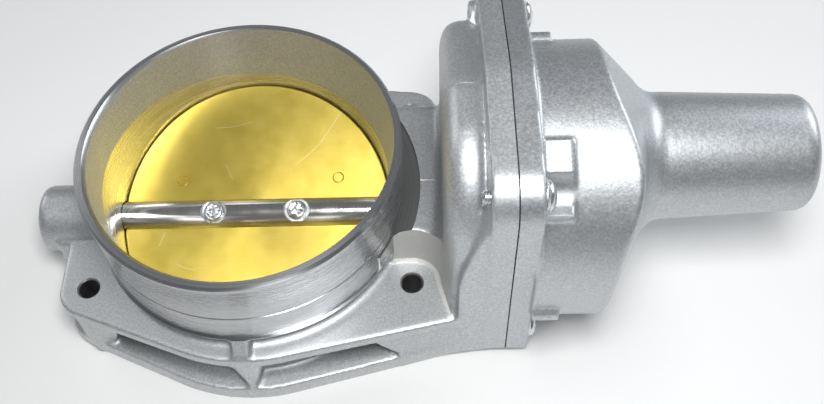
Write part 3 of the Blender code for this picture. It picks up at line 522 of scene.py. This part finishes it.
CAST = blasted("cast_aluminium", (0.56, 0.575, 0.585), 1500.0, 0.46, 0.15, 0.8)
CAST_COVER = blasted("cast_aluminium_cover", (0.53, 0.55, 0.565), 1400.0, 0.43, 0.13, 0.86)
CONE_CAST = blasted("cast_inlet", (0.42, 0.43, 0.425), 1700.0, 0.58, 0.07, 0.35)
# The collar is coloured darker than the rim, a painted reflection: it stands in for the dark room seen in
# the collar's sides.
COLLAR_METAL_PAINTED_REFLECTION = machined("turned_collar_painted_reflection", (0.52, 0.53, 0.54), "Z", 0.24, aniso=0.9)
RIM_METAL = machined("turned_rim", (0.60, 0.61, 0.62), "Z", 0.28, 7000.0, 0.6)
BORE_METAL = machined("bored_wall", (0.84, 0.83, 0.81), "Z", 0.26)
# The relief is coloured darker and a little warmer than the other turned faces, painted shade of the ring
# gap round the collar.
RELIEF_METAL_PAINTED_SHADE = machined("turned_relief_painted_shade", (0.46, 0.455, 0.44), "Z", 0.33, 2600.0, 1.0)
POCKET_METAL = blasted("pocket_wall", (0.60, 0.60, 0.575), 2200.0, 0.5, 0.06, 0.5)
FACE_METAL = milled("milled_face", (0.70, 0.71, 0.72), 0.3)
HOLE_METAL = milled("drilled_wall", (0.45, 0.45, 0.45), 0.35)
BRASS = brushed_brass("brass_sheet")
SHAFT_STEEL = ground_steel("shaft_steel", (0.74, 0.725, 0.69), "X", 0.15)
ZINC = plated("zinc_plate", (0.78, 0.8, 0.82), 0.24)
DULL_ZINC = plated("dull_zinc", (0.66, 0.68, 0.69), 0.34)
RUBBER = moulded("seal_rubber", (0.02, 0.02, 0.02), 0.7)
PLASTIC = moulded("black_plastic", (0.03, 0.03, 0.033), 0.45)
NYLON = moulded("gear_nylon", (0.72, 0.68, 0.55), 0.45)
SPRING = ground_steel("spring_steel", (0.24, 0.24, 0.25), "X", 0.35)
COPPER = ground_steel("copper", (0.85, 0.48, 0.3), "Y", 0.28)
FERRITE = moulded("ferrite", (0.06, 0.06, 0.065), 0.6, 500.0)


# ---------------------------------------------------------------- finishing

def in_metres(obj):
    obj.data.transform(Matrix.Scale(MM, 4))
    return obj


def smoothed(obj, angle=30):
    """Smooth shading, kept sharp at the edges that turn by more than the angle in degrees."""
    obj.data.shade_smooth()
    obj.data.set_sharp_from_angle(angle=math.radians(angle))
    return obj


def covered(obj, look):
    """The object with one material all over."""
    obj.data.materials.clear()
    obj.data.materials.append(look)
    return obj


def fasten(obj, body, node):
    """Fastens a piece to its body in place of a CAD node."""
    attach(obj, body)
    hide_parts(node)


def finish(obj, body, node, angle=30):
    fasten(smoothed(in_metres(obj), angle), body, node)


# ---------------------------------------------------------------- body casting

def plate_outline(bore_r, ear_r, corner):
    """The outline of a flange: bore circle, four ears and a corner under the gear case."""
    return hull([((0, 0), bore_r), *[(centre, ear_r) for centre in BOLTS], (corner, 1.5)])


def front_rib():
    """The rib down the front: it leaves the collar, crosses the deck and forks on the flange."""
    web = prism("rib", "X", -2.7, 2.4, [(-44, DECK_BOTTOM), (-55.6, DECK_BOTTOM), (-55.4, DECK_TOP - 1.5),
                                        (-54.4, DECK_TOP + 0.3), (-50.8, COLLAR_BOTTOM + 1.2),
                                        (-44, COLLAR_BOTTOM + 1.2)])
    low = [(-8.5, -46), (-6.0, -50), (-2.9, -52.2), (-1.2, -54.6), (0.6, -57.0), (1.8, -57.0), (3.0, -54.2),
           (3.4, -51), (7, -46)]
    high = [(-8.5, -46), (-7.5, -51), (-5.6, -53.4), (-4.0, -54.8), (-2.6, -55.4), (3.2, -55.6),
            (4.8, -54.8), (6.8, -52), (8, -46)]
    between = [((a + c) / 2, (b + d) / 2) for (a, b), (c, d) in zip(low, high)]
    return join(web, loft("foot", "Z", [(3, low), (7.5, low), (13, between), (DECK_TOP - 2, high)]))


def end_blocks():
    """The blocks that close the slot between flange and deck, swept in towards the flange."""
    # rows of height, end in X, front in Y and corner in Y
    right = [(0.8, 48.3, -47.6, -44.2), (FLANGE_TOP, 48.3, -46.8, -43.6), (9, 45.2, -46.3, -42.8),
             (12, 42.2, -46.0, -42.2), (15, 40.0, -46.2, -41.6), (DECK_TOP - 2.4, 38.4, -46.0, -41.0)]
    left = [(0.8, -45.6, -39.6, -41.2), (FLANGE_TOP, -45.6, -39.6, -41.2), (12, -43.6, -41.0, -40.2),
            (DECK_TOP - 2.4, -41.8, -42.4, -39.2)]
    right_sections = [
        (z, [(x, -24), (x, front), (48.5 + (x - 38.4) * 0.1, front + 0.6), (60, corner), (74, -42.3),
             (74, -24)])
        for z, x, front, corner in right]
    left_sections = [
        (z, [(x, -24), (x, front), (-52.2, corner), (-56.4, -37.2), (-59.2, -31), (-55, -22)])
        for z, x, front, corner in left]
    return loft("right_block", "Z", right_sections), loft("left_block", "Z", left_sections)


def swelling(grown=0.0):
    """The bulge over the gear train, rounded to the left and pinched where it meets its flange."""
    stations = (
        (CASE_LEFT, 8.5), (CASE_LEFT + 0.4, 5.6), (CASE_LEFT + 1.2, 3.3), (CASE_LEFT + 2.4, 1.6),
        (CASE_LEFT + 4.2, 0.5), (CASE_LEFT + 6.5, 0), (CASE_LEFT + 9.6, 0.3), (FLANGE_LEFT - 0.9, 1.6),
        (FLANGE_LEFT + 1, 1.9))
    sections = [(x, rounded(BULGE_CORNERS, inset - grown)) for x, inset in stations]
    return loft("swelling", "X", sections, CAST)


def front_pocket(bottom, stock, look):
    """Room for the front right bolt's head: a straight back low down, an arch at the top."""
    low = [(42.5, -20.4 - stock), (45.5, -20.3 - stock), (49.0, -20.1 - stock)]
    low += arc(POCKET_LOW, POCKET_LOW_R - stock, 90, 0, 12) + [(62.4 - stock, -33.5), (64.5, -42)]
    high = arc(POCKET_HIGH, POCKET_HIGH_R - stock, 180, 110, 2)
    high += arc(POCKET_HIGH, POCKET_HIGH_R - stock, 90, 0, 12) + [(63.6 - stock, -33.5), (66.0, -42)]
    front = [(66, -56), (36, -56), (36, -27)]
    return loft("front_pocket", "Z", [(bottom, low + front), (SADDLE_TOP + 0.5, high + front),
                                      (60, high + front)], look)


def case_fillet(foot):
    """The outline of the fillet between the saddle's top and the case's left wall."""
    return [(68, 30), (foot - 2.4, 30), (foot - 2.4, SADDLE_TOP - 0.4), (foot - 1.2, SADDLE_TOP + 0.2),
            (foot, SADDLE_TOP + 1.2), (foot + 0.8, SADDLE_TOP + 2.8), (foot + 1.3, SADDLE_TOP + 6), (68, 50)]


def body_skin():
    """The casting before it is machined, with a little stock on the turned faces."""
    boss = [(BODY_LOW.x, 0), (BODY_LOW.x, BOSS_R - 2.2), (BODY_LOW.x + 0.7, BOSS_R - 0.8),
            (BODY_LOW.x + 2.2, BOSS_R), (-46.5, BOSS_R), (-46.5, 0)]
    collar = [(10, 42), (10, 49.4), (DECK_TOP + 0.6, 49.4), (DECK_TOP + 1.4, NECK_R), (26.6, NECK_R),
              (27.6, RIM_R + 0.4), (28.2, RIM_R + 0.9), (RIM_TOP + 1.5, RIM_R + 0.9), (RIM_TOP + 1.5, 42)]
    body = prism("body", "Z", -0.8, FLANGE_TOP, plate_outline(FLANGE_R, FLANGE_EAR_R, (62, -42)), CAST)
    join(
        body,
        prism("deck", "Z", DECK_BOTTOM, DECK_TOP, plate_outline(DECK_R, DECK_EAR_R, (65, -41))),
        cylinder("core", "Z", (0, 0), 0.5, DECK_TOP - 0.6, 50.0, SPIN),
        *[cylinder("column", "Z", centre, 1, DECK_TOP - 1, COLUMN_R) for centre in BOLTS],
        *end_blocks(),
        box("back_block", (40, 20, 1.4), (76, 37.5, DECK_TOP - 1.4)),
        prism("saddle", "X", 40, 76, [(-24, 0.8), (-24, 35.4), (0, SADDLE_TOP), (30.2, SADDLE_TOP),
                                      (32.6, SADDLE_TOP - 0.8), (33.4, SADDLE_TOP - 3), (33.4, 0.8)]),
        prism("saddle_front", "X", 57.5, 76, [(-41, 0.8), (-40.6, DECK_TOP), (-38.5, DECK_TOP + 2),
                                              (-34, 30), (-28, 34), (-20, 35.6), (-20, 0.8)]),
        swelling(),
        prism("case_flange", "X", FLANGE_LEFT, BODY_FACE + 1.5, rounded(CASE_CORNERS)),
        prism("case_block", "Y", -42.3, -30, [(65.8, 0.6), (76, 0.6), (76, 80), (73.2, 72), (70.6, 64),
                                              (67.8, 53), (66.3, 44)]),
        loft("case_fillet", "Y", [(y, case_fillet(foot)) for y, foot in ((-27, 61.4), (-8, 61.6),
                                                                         (31, 61.8))]),
    )
    cut(
        body,
        cylinder("collar_room", "Z", (0, 0), RELIEF_Z + 0.4, 90, RELIEF_R - STOCK, SPIN, CAST),
        front_pocket(DECK_TOP, STOCK, CAST),
    )
    join(
        body,
        turned("collar", "Z", (0, 0), collar, SPIN),
        cylinder("bearing_bridge", "X", (0, SHAFT_Z), 44, 58, 7.2),
        front_rib(),
        turned("left_boss", "X", (0, SHAFT_Z), boss, 64),
        prism("boss_web", "X", -66, -50, [(-13.5, 14), (-12.2, DECK_TOP), (12.2, DECK_TOP), (13.5, 14)]),
        cylinder("screw_boss", "X", COVER_SCREWS[1], 71.5, FLANGE_LEFT + 1, 5.4),
    )
    return cut(
        body,
        turned("inlet_cone", "Z", (0.5, 0.2), [(-3, 0), (-3, 42.6), (20, 42.6), (62, 47.9), (62, 0)],
               SPIN, CONE_CAST),
    )


def body_machining(body):
    """Turned, bored, milled and drilled faces, each in its own finish."""
    flat = ((28.9, RIM_R), (40.45, RIM_R), (40.6, RIM_R - 0.3), (41.0, RIM_R - 0.3), (41.15, RIM_R),
            (55.7, RIM_R), (56.3, RIM_R + 0.4), (RIM_TOP - 0.8, RIM_R + 0.4), (RIM_TOP, RIM_R - 0.4),
            (62, RIM_R - 0.4), (62, 54), (28.9, 54))
    mouth = ((MOUTH_Z, 0), (MOUTH_Z, MOUTH_R), (60.4, MOUTH_TOP_R), (60.4, 0))
    bolt_hole = ((-1, 0), (-1, BOLT_HOLE_R), (DECK_TOP - 0.5, BOLT_HOLE_R),
                 (DECK_TOP + 0.4, BOLT_HOLE_R + 0.9), (40, BOLT_HOLE_R + 0.9), (40, 0))
    cut(
        body,
        ring("relief", "Z", (0, 0), RELIEF_Z, 90, RELIEF_INNER_R, RELIEF_R, SPIN, RELIEF_METAL_PAINTED_SHADE),
        cut(turned("turning", "Z", (0, 0), flat, SPIN, COLLAR_METAL_PAINTED_REFLECTION),
            box("saddle_kept", (40, -27, 20), (60, 34.6, RELIEF_Z), RELIEF_METAL_PAINTED_SHADE)),
        cut(front_pocket(DECK_TOP + 0.15, 0, POCKET_METAL),
            cylinder("collar_kept", "Z", (0, 0), 10, 70, RIM_R + 0.45, SPIN, COLLAR_METAL_PAINTED_REFLECTION)),
        turned("facing", "Z", (0, 0), [(RIM_TOP, 0), (RIM_TOP, 56), (64, 56), (64, 0)], SPIN, RIM_METAL),
        turned("boring", "Z", (0, 0), [(-2, 0), (-2, BORE_R), (50, BORE_R), (50, 0)], SPIN, BORE_METAL),
        turned("mouth", "Z", (0, 0), mouth, SPIN, RIM_METAL),
        box("base", (-90, -80, -5), (100, 80, 0), FACE_METAL),
        box("joint_face", (BODY_FACE + 0.3, -80, -5), (100, 80, 100), FACE_METAL),
        prism("chamber", "X", 66, 90, rounded(BULGE_CORNERS, CASE_WALL, 8), CAST),
        *[turned("bolt_hole", "Z", centre, bolt_hole, 40, HOLE_METAL) for centre in BOLTS],
        cylinder("left_shaft_hole", "X", (0, SHAFT_Z), -50, -40, SHAFT_HOLE_R, 48, HOLE_METAL),
        cylinder("right_shaft_hole", "X", (0, SHAFT_Z), 40, 52, SHAFT_HOLE_R, 48, HOLE_METAL),
        ring("seal_groove", "Z", (0, 0), -1, SEAL_GROOVE_DEPTH, SEAL_GROOVE_INNER, SEAL_GROOVE_OUTER, SPIN,
             FACE_METAL),
        cylinder("stop_screw_hole", "Y", STOP_SCREW, 30, 50, STOP_SCREW_HOLE_R, 32, HOLE_METAL),
        *[cylinder("screw_hole", "X", centre, 65, 90, BODY_THREAD_R, 32, HOLE_METAL)
          for centre in COVER_SCREWS],
    )


def parting_lines():
    """Low beads where the halves of the mould met: along the saddle, up its end and over the bulge."""
    half = 0.15
    plane = box("bead_plane", (63.0, PARTING_Y - half, 62), (FLANGE_LEFT, PARTING_Y + half, 90))
    return [
        cylinder("saddle_bead", "X", (PARTING_Y, SADDLE_TOP - 0.05), RELIEF_R + 0.1, 60.6, 0.3, 12, CAST),
        cylinder("saddle_bead_end", "Z", (60.9, 2.2), SADDLE_TOP - 3, SADDLE_TOP + 0.2, 0.5, 12, CAST),
        combine(swelling(0.14), "INTERSECT", [plane]),
    ]


def body_casting():
    body = body_skin()
    body.name = "body_casting_detail"
    cast(body, CAST_VOXEL, 11, 165000)
    body_machining(body)
    join(body, *parting_lines())
    finish(body, "housing", "body_casting", angle=38)


# ---------------------------------------------------------------- gear cover

def circle(x, y, z, radius, steps=SPIN, lift=0.0):
    """A ring of points round a line along X; lift pushes the side that faces up and front outwards."""
    crown_at, crown_width = math.radians(CROWN_ANGLE), math.radians(CROWN_WIDTH)
    points = []
    for i in range(steps):
        a = 2 * math.pi * i / steps
        off = (a - crown_at + math.pi) % (2 * math.pi) - math.pi
        shift = lift * CROWN * math.exp(-(off / crown_width) ** 2)
        points.append((x + shift, y + radius * math.cos(a), z + radius * math.sin(a)))
    return points


def motor_housing():
    """Drum, crowned shoulder, cone and nose, with an even sweep from cone to nose."""
    rings = [circle(COVER_FLANGE_RIGHT - 1, DRUM_Y, DRUM_Z, DRUM_R),
             circle(DRUM_END - 1.1, DRUM_Y, DRUM_Z, DRUM_R, lift=1.0),
             circle(DRUM_END, DRUM_Y, DRUM_Z, DRUM_R - 1.0, lift=1.0)]
    cone_end, cone_r = NOSE_BASE - 4.2, NOSE_BASE_R + 5.5
    for k in range(9):
        t = k / 8
        x = cone_end + (NOSE_BASE + 4 - cone_end) * t
        radius = NOSE_BASE_R + (cone_r - NOSE_BASE_R) * (1 - t) ** 2.3
        rings.append(circle(x, NOSE_Y - 0.6 * (1 - t), NOSE_Z - 0.8 * (1 - t), radius))
    corner = 4.0
    rings.append(circle(NOSE_END - corner, NOSE_Y, NOSE_Z, NOSE_TIP_R))
    for k in range(1, 7):
        a = math.pi / 2 * k / 6
        rings.append(circle(NOSE_END - corner + corner * math.sin(a), NOSE_Y, NOSE_Z,
                            NOSE_TIP_R - corner + corner * math.cos(a)))
    return skin("motor_housing", rings)


def drum_point(angle, radius):
    """A point on the drum; the angle is in degrees from +Y towards +Z."""
    a = math.radians(angle)
    return (DRUM_Y + radius * math.cos(a), DRUM_Z + radius * math.sin(a))


def drum_pad():
    """The flat raised pad beside the front screw, square to the drum's radius."""
    a = math.radians(PAD_ANGLE)
    out, along = Vector((math.cos(a), math.sin(a))), Vector((math.sin(a), -math.cos(a)))
    corners = ((DRUM_R - 8, 4.4), (DRUM_R + 3.0, 4.4), (DRUM_R + 3.0, -15.5), (DRUM_R - 8, -19))
    centre = Vector((DRUM_Y, DRUM_Z))
    outline = [centre + out * o + along * t for o, t in corners]
    return prism("pad", "X", COVER_FLANGE_RIGHT - 1, PAD_END, outline)


def cover_skin():
    cover = prism("cover", "X", COVER_FACE - 2, COVER_FLANGE_RIGHT, rounded(CASE_CORNERS), CAST_COVER)
    join(
        cover,
        motor_housing(),
        drum_pad(),
        *[cylinder("rib", "X", drum_point(angle, DRUM_R - 0.5), COVER_FLANGE_RIGHT - 1, RIB_END, RIB_R, 40)
          for angle in RIB_ANGLES],
        box("connector_pad", (92.9, 8, 4.2), (107.3, 39.3, 31.8)),
    )
    return cut(
        cover,
        cylinder("tool_clearance", "X", COVER_SCREWS[0], COVER_FLANGE_RIGHT, 99, 6.9, 48, CAST_COVER),
        cylinder("tool_clearance_back", "X", COVER_SCREWS[1], COVER_FLANGE_RIGHT, 99, 6.2, 48, CAST_COVER),
    )


def cover_machining(cover):
    cut(
        cover,
        box("joint_face", (60, -80, -5), (COVER_FACE - 0.3, 80, 100), FACE_METAL),
        *[cylinder("screw_seat", "X", centre, COVER_FLANGE_RIGHT - 0.25, 96, SCREW_SEAT_R, 48, FACE_METAL)
          for centre in COVER_SCREWS],
        *[cylinder("screw_hole", "X", centre, 70, 95, COVER_HOLE_R, 32, HOLE_METAL)
          for centre in COVER_SCREWS],
        prism("opening", "X", 60, COVER_FLANGE_RIGHT + 1, rounded(BULGE_CORNERS, CASE_WALL, 8), CAST_COVER),
        cylinder("drum_hollow", "X", (DRUM_Y, DRUM_Z), COVER_FLANGE_RIGHT, DRUM_HOLLOW_END,
                 DRUM_HOLLOW_R, 96, CAST_COVER),
        cylinder("nose_hollow", "X", (NOSE_Y, NOSE_Z), DRUM_HOLLOW_END - 1, NOSE_HOLLOW_END,
                 NOSE_HOLLOW_R, 64, CAST_COVER),
        box("connector_window", (95.3, 6, 13), (104.9, 45, 23), FACE_METAL),
    )


def gear_cover():
    cover = cover_skin()
    cover.name = "gear_cover_detail"
    cast(cover, CAST_VOXEL, 4, 150000)
    cover_machining(cover)
    finish(cover, "housing", "gear_cover", angle=38)


def gasket():
    outline = rounded(CASE_CORNERS, 0.25)
    made = prism("cover_gasket_detail", "X", BODY_FACE + 0.32, COVER_FACE - 0.32, outline)
    cut(made, prism("opening", "X", 60, 100, rounded(BULGE_CORNERS, 3.0, 8)),
        *[cylinder("hole", "X", centre, 60, 100, 2.7, 32) for centre in COVER_SCREWS])
    finish(covered(made, RUBBER), "housing", "cover_gasket")


# ---------------------------------------------------------------- throttle plate, shaft and screws

def bevelled(obj, width, segments=2, angle=35):
    bevel = obj.modifiers.new("bevel", "BEVEL")
    bevel.width = width
    bevel.segments = segments
    bevel.limit_method = "ANGLE"
    bevel.angle_limit = math.radians(angle)
    return baked(obj)


def tilted(obj):
    """Turns a piece modelled flat about the shaft to the resting angle, keeping its own coordinates."""
    obj.data.transform(Matrix.Translation((0, 0, -SHAFT_Z)))
    obj.location = (0, 0, SHAFT_Z * MM)
    obj.rotation_euler = (PLATE_TILT, 0, 0)
    return in_metres(obj)


def throttle_plate():
    half = PLATE_HALF
    profile = ((-half, 0.45), (-half + 0.3, 0.0), (half - 0.3, 0.0), (half, 0.35))
    sections = []
    for z, inset in profile:
        circle_points = arc((0, 0), PLATE_R - inset, 0, 360, 192)[:-1]
        sections.append((SHAFT_Z + z, [(x, y * PLATE_STRETCH) for x, y in circle_points]))
    plate = loft("throttle_plate_detail", "Z", sections, BRASS)
    mark = [(SHAFT_Z + half - 0.3, 1.75), (SHAFT_Z + half + 0.3, 1.3), (SHAFT_Z + half + 0.3, 2.2)]
    cut(plate, *[turned("mark", "Z", centre, mark, 40, BRASS) for centre in PLATE_MARKS])
    cut(plate, *[cylinder("hole", "Z", (x, 0), 10, 30, 2.2, 32, BRASS) for x in PLATE_SCREWS])
    fasten(tilted(smoothed(plate)), "throttle", "throttle_plate")


def throttle_shaft():
    left, right = SHAFT_LOW.x, SHAFT_HIGH.x
    shaft = turned("throttle_shaft_detail", "X", (0, SHAFT_Z), [
        (left, 0), (left, SHAFT_R - 0.6), (left + 0.6, SHAFT_R), (right - 0.6, SHAFT_R),
        (right, SHAFT_R - 0.6), (right, 0)], 96, SHAFT_STEEL)
    slot_low, slot_high = SHAFT_Z - SHAFT_SLOT_HALF, SHAFT_Z + SHAFT_SLOT_HALF
    cut(shaft, box("slot", (-45.9, -9, slot_low), (45.9, 9, slot_high), SHAFT_STEEL))
    spot_face = [(SHAFT_Z + 3.3, 0), (SHAFT_Z + 3.3, 4.1), (SHAFT_Z + 6, 4.6), (SHAFT_Z + 6, 0)]
    for x in PLATE_SCREWS:
        cut(
            shaft,
            turned("spot_face", "Z", (x, 0), spot_face, 48, FACE_METAL),
            cylinder("through", "Z", (x, 0), 10, 30, 2.2, 32, HOLE_METAL),
            cylinder("nest", "Z", (x, 0), SHAFT_Z + 2.6, 30, 3.35, 40, HOLE_METAL),
        )
    fasten(tilted(smoothed(shaft)), "throttle", "throttle_shaft")


def plate_screw(side, x):
    """A pan-headed screw whose cross recess was spread by staking."""
    top = SHAFT_Z + 4.9
    profile = [(SHAFT_Z - 5.4, 0), (SHAFT_Z - 5.4, 1.5), (SHAFT_Z - 5.0, 1.9), (SHAFT_Z + 2.9, 1.9),
               (SHAFT_Z + 2.9, 3.1), (top - 0.7, 3.15), (top - 0.25, 2.9), (top, 2.35), (top - 0.1, 2.0),
               (top - 0.15, 0)]
    recess_turn, stake_turn = (22, 67) if x < 0 else (51, 96)
    screw = turned(f"plate_screw_{side}_detail", "Z", (x, 0), profile, 48, ZINC)
    for half_x, half_y in ((0.42, 2.0), (2.0, 0.42)):
        slot = box("recess", (-half_x, -half_y, top - 1.3), (half_x, half_y, top + 1), ZINC)
        slot.data.transform(Matrix.Rotation(math.radians(recess_turn), 4, "Z"))
        slot.data.transform(Matrix.Translation((x, 0, 0)))
        cut(screw, slot)
    for k in range(4):
        a = math.radians(90 * k + stake_turn)
        dent = (x + 1.75 * math.cos(a), 1.75 * math.sin(a))
        cone = [(top - 0.7, 0), (top + 0.2, 0.75), (top + 0.2, 0)]
        cut(screw, turned("stake", "Z", dent, cone, 12, ZINC))
    bevelled(screw, 0.07, 1)
    fasten(tilted(smoothed(screw)), "throttle", f"plate_screw_{side}")


# ---------------------------------------------------------------- screws and connector

def star(centre, inner, outer, points=6, steps=8):
    """A six-lobed driver outline."""
    outline = []
    for k in range(points * steps):
        a = 2 * math.pi * k / (points * steps)
        radius = (inner + outer) / 2 + (outer - inner) / 2 * math.cos(points * a)
        outline.append((centre[0] + radius * math.cos(a), centre[1] + radius * math.sin(a)))
    return outline


def cover_screw(number, centre):
    """A domed screw with a washer face; its threaded end shows behind the body's flange."""
    seat = COVER_FLANGE_RIGHT - 0.2
    tip = limits(f"cover_screw_{number}")[0].x
    profile = [(tip, 0), (tip, 1.35), (tip + 0.6, 1.9)]
    thread_end, pitch = tip + 6.3, 0.7
    x = tip + 0.6
    while x < thread_end:
        profile += [(x + 0.15, 2.1), (x + 0.3, 2.1), (x + 0.6, 1.75), (x + pitch, 1.75)]
        x += pitch
    dome = [(seat + 1.2 + 2.2 * math.sin(math.radians(b)), 4.35 * math.cos(math.radians(b)))
            for b in range(0, 90, 12)]
    profile += [(x + 0.2, 2.1), (seat, 2.1), (seat, 4.9), (seat + 0.5, 5.0), (seat + 0.9, 4.7), *dome,
                (seat + 3.4, 0)]
    screw = turned(f"cover_screw_{number}_detail", "X", centre, profile, 48)
    cut(screw, prism("recess", "X", seat + 1.4, seat + 6, star(centre, 1.35, 1.95)))
    finish(covered(screw, ZINC), "housing", f"cover_screw_{number}")


def connector():
    """A six-way socket with ribs and a latch ramp, on the side away from the front rib."""
    flange = box("connector_detail", (CONNECTOR_LEFT, 39.6, 4.4), (CONNECTOR_RIGHT, 42.6, 31.6))
    join(flange, box("shroud", (94.3, 42, 11.2), (105.9, 57, 24.8)),
         box("tongue", (95.7, 30.5, 13.4), (104.5, 40, 22.6)))
    bevelled(flange, 0.7, 3, 50)
    latch = [(42, 24.2), (42, 25.8), (46, 25.8), (50.5, 26.2), (52, 24.2)]
    join(flange, prism("latch", "X", 98.1, 102.1, latch),
         *[box("rib", (x, 42, 24.2), (x + 0.9, 55, 25.6)) for x in (95.2, 104.1)],
         *[box("rib", (x, 42, 10.4), (x + 0.9, 55, 11.6)) for x in (96.2, 99.6, 103.0)])
    cut(flange, box("socket", (95.4, 45, 12.3), (104.8, 58, 23.7)),
        *[box("slot", (x - 0.8, 20, z - 0.8), (x + 0.8, 60, z + 0.8))
          for x in (CONNECTOR_X - 3, CONNECTOR_X, CONNECTOR_X + 3) for z in (15.8, 20.2)],
        *[cylinder("hole", "Y", (CONNECTOR_X, z), 30, 60, 1.6, 24) for z in (29.2, 6.8)])
    finish(covered(flange, PLASTIC), "housing", "connector_housing")


def small_parts():
    """Materials for the CAD nodes that are shown as they are."""
    looks = {
        "steel": SHAFT_STEEL, "zinc_plate": DULL_ZINC, "spring_steel": SPRING, "seal_rubber": RUBBER,
        "gear_nylon": NYLON, "black_plastic": PLASTIC, "brass": BRASS, "ferrite": FERRITE,
        "copper": COPPER,
    }
    slots = {part["node"]: part["material_slot"] for part in frame["record"]["subparts"]}
    for name, node in frame["nodes"].items():
        if not node.hide_render:
            smoothed(covered(node, looks[slots[name]]), 35)


# ---------------------------------------------------------------- studio

def floor():
    """A pale dish: flat under the throttle body and swept up far away from it."""
    look = Look("pale_floor", (0.83, 0.83, 0.825), 0.0, 0.6)
    faint = look.noise(3.0, 2.0, 0.5)
    look.colour_from(look.mix(look.ramp(faint, 0.3, 0.7), (0.82, 0.82, 0.815), (0.84, 0.84, 0.835)))
    flat, sweep = 2400.0, 1500.0
    profile = [(0.0, 0.0), (0.0, flat)]
    for a in np.linspace(0.1, math.pi / 2, 16):
        profile.append((sweep - sweep * math.cos(a), flat + sweep * math.sin(a)))
    profile += [(sweep + 5, flat + sweep), (-5.0, flat), (-5.0, 0.0)]
    smoothed(in_metres(turned("floor", "Z", (0, 0), profile, 96, look.material)), 40)


def light(name, place_m, target, size, power, colour=(1, 1, 1)):
    """A softbox at a place in metres, aimed at the target."""
    data = bpy.data.lights.new(name, "AREA")
    data.shape = "RECTANGLE"
    data.size, data.size_y = size
    data.energy = power
    data.color = colour
    lamp = bpy.data.objects.new(name, data)
    bpy.context.scene.collection.objects.link(lamp)
    lamp.location = place_m
    lamp.rotation_euler = (Vector(target) - Vector(place_m)).to_track_quat("-Z", "Y").to_euler()


def studio():
    """A small softbox just above the camera, a large one on each side towards the back, and a grey room."""
    target = (0.04, 0.0, 0.03)
    light("key", (0.08, -0.145, 0.42), target, (0.13, 0.16), 1.6)
    light("right", (0.9, 0.45, 0.55), target, (0.7, 0.5), 5.2, (0.93, 0.97, 1.0))
    light("left", (-0.75, 0.45, 0.6), target, (0.5, 0.5), 1.8)
    world = bpy.data.worlds.new("studio")
    bpy.context.scene.world = world
    world.use_nodes = True
    background = world.node_tree.nodes["Background"]
    background.inputs["Color"].default_value = (0.92, 0.95, 1.0, 1)
    background.inputs["Strength"].default_value = 0.2
    bpy.context.scene.view_settings.view_transform = "Standard"


def camera():
    data = bpy.data.cameras.new("camera")
    data.sensor_width = SENSOR_WIDTH
    data.lens = LENS
    data.shift_x, data.shift_y = LENS_SHIFT
    data.clip_start, data.clip_end = 0.01, 20.0
    cam = bpy.data.objects.new("camera", data)
    bpy.context.scene.collection.objects.link(cam)
    back = CAMERA_RIGHT.cross(CAMERA_UP).normalized()
    turn = Matrix((CAMERA_RIGHT, back.cross(CAMERA_RIGHT), back)).transposed().to_4x4()
    cam.matrix_world = Matrix.Translation(CAMERA_PLACE) @ turn
    bpy.context.scene.camera = cam


# ---------------------------------------------------------------- assembly

body_casting()
gear_cover()
gasket()
throttle_plate()
throttle_shaft()
for side, x in zip(("left", "right"), PLATE_SCREWS):
    plate_screw(side, x)
for number, centre in enumerate(COVER_SCREWS, 1):
    cover_screw(number, centre)
connector()
small_parts()
floor()
studio()
camera()
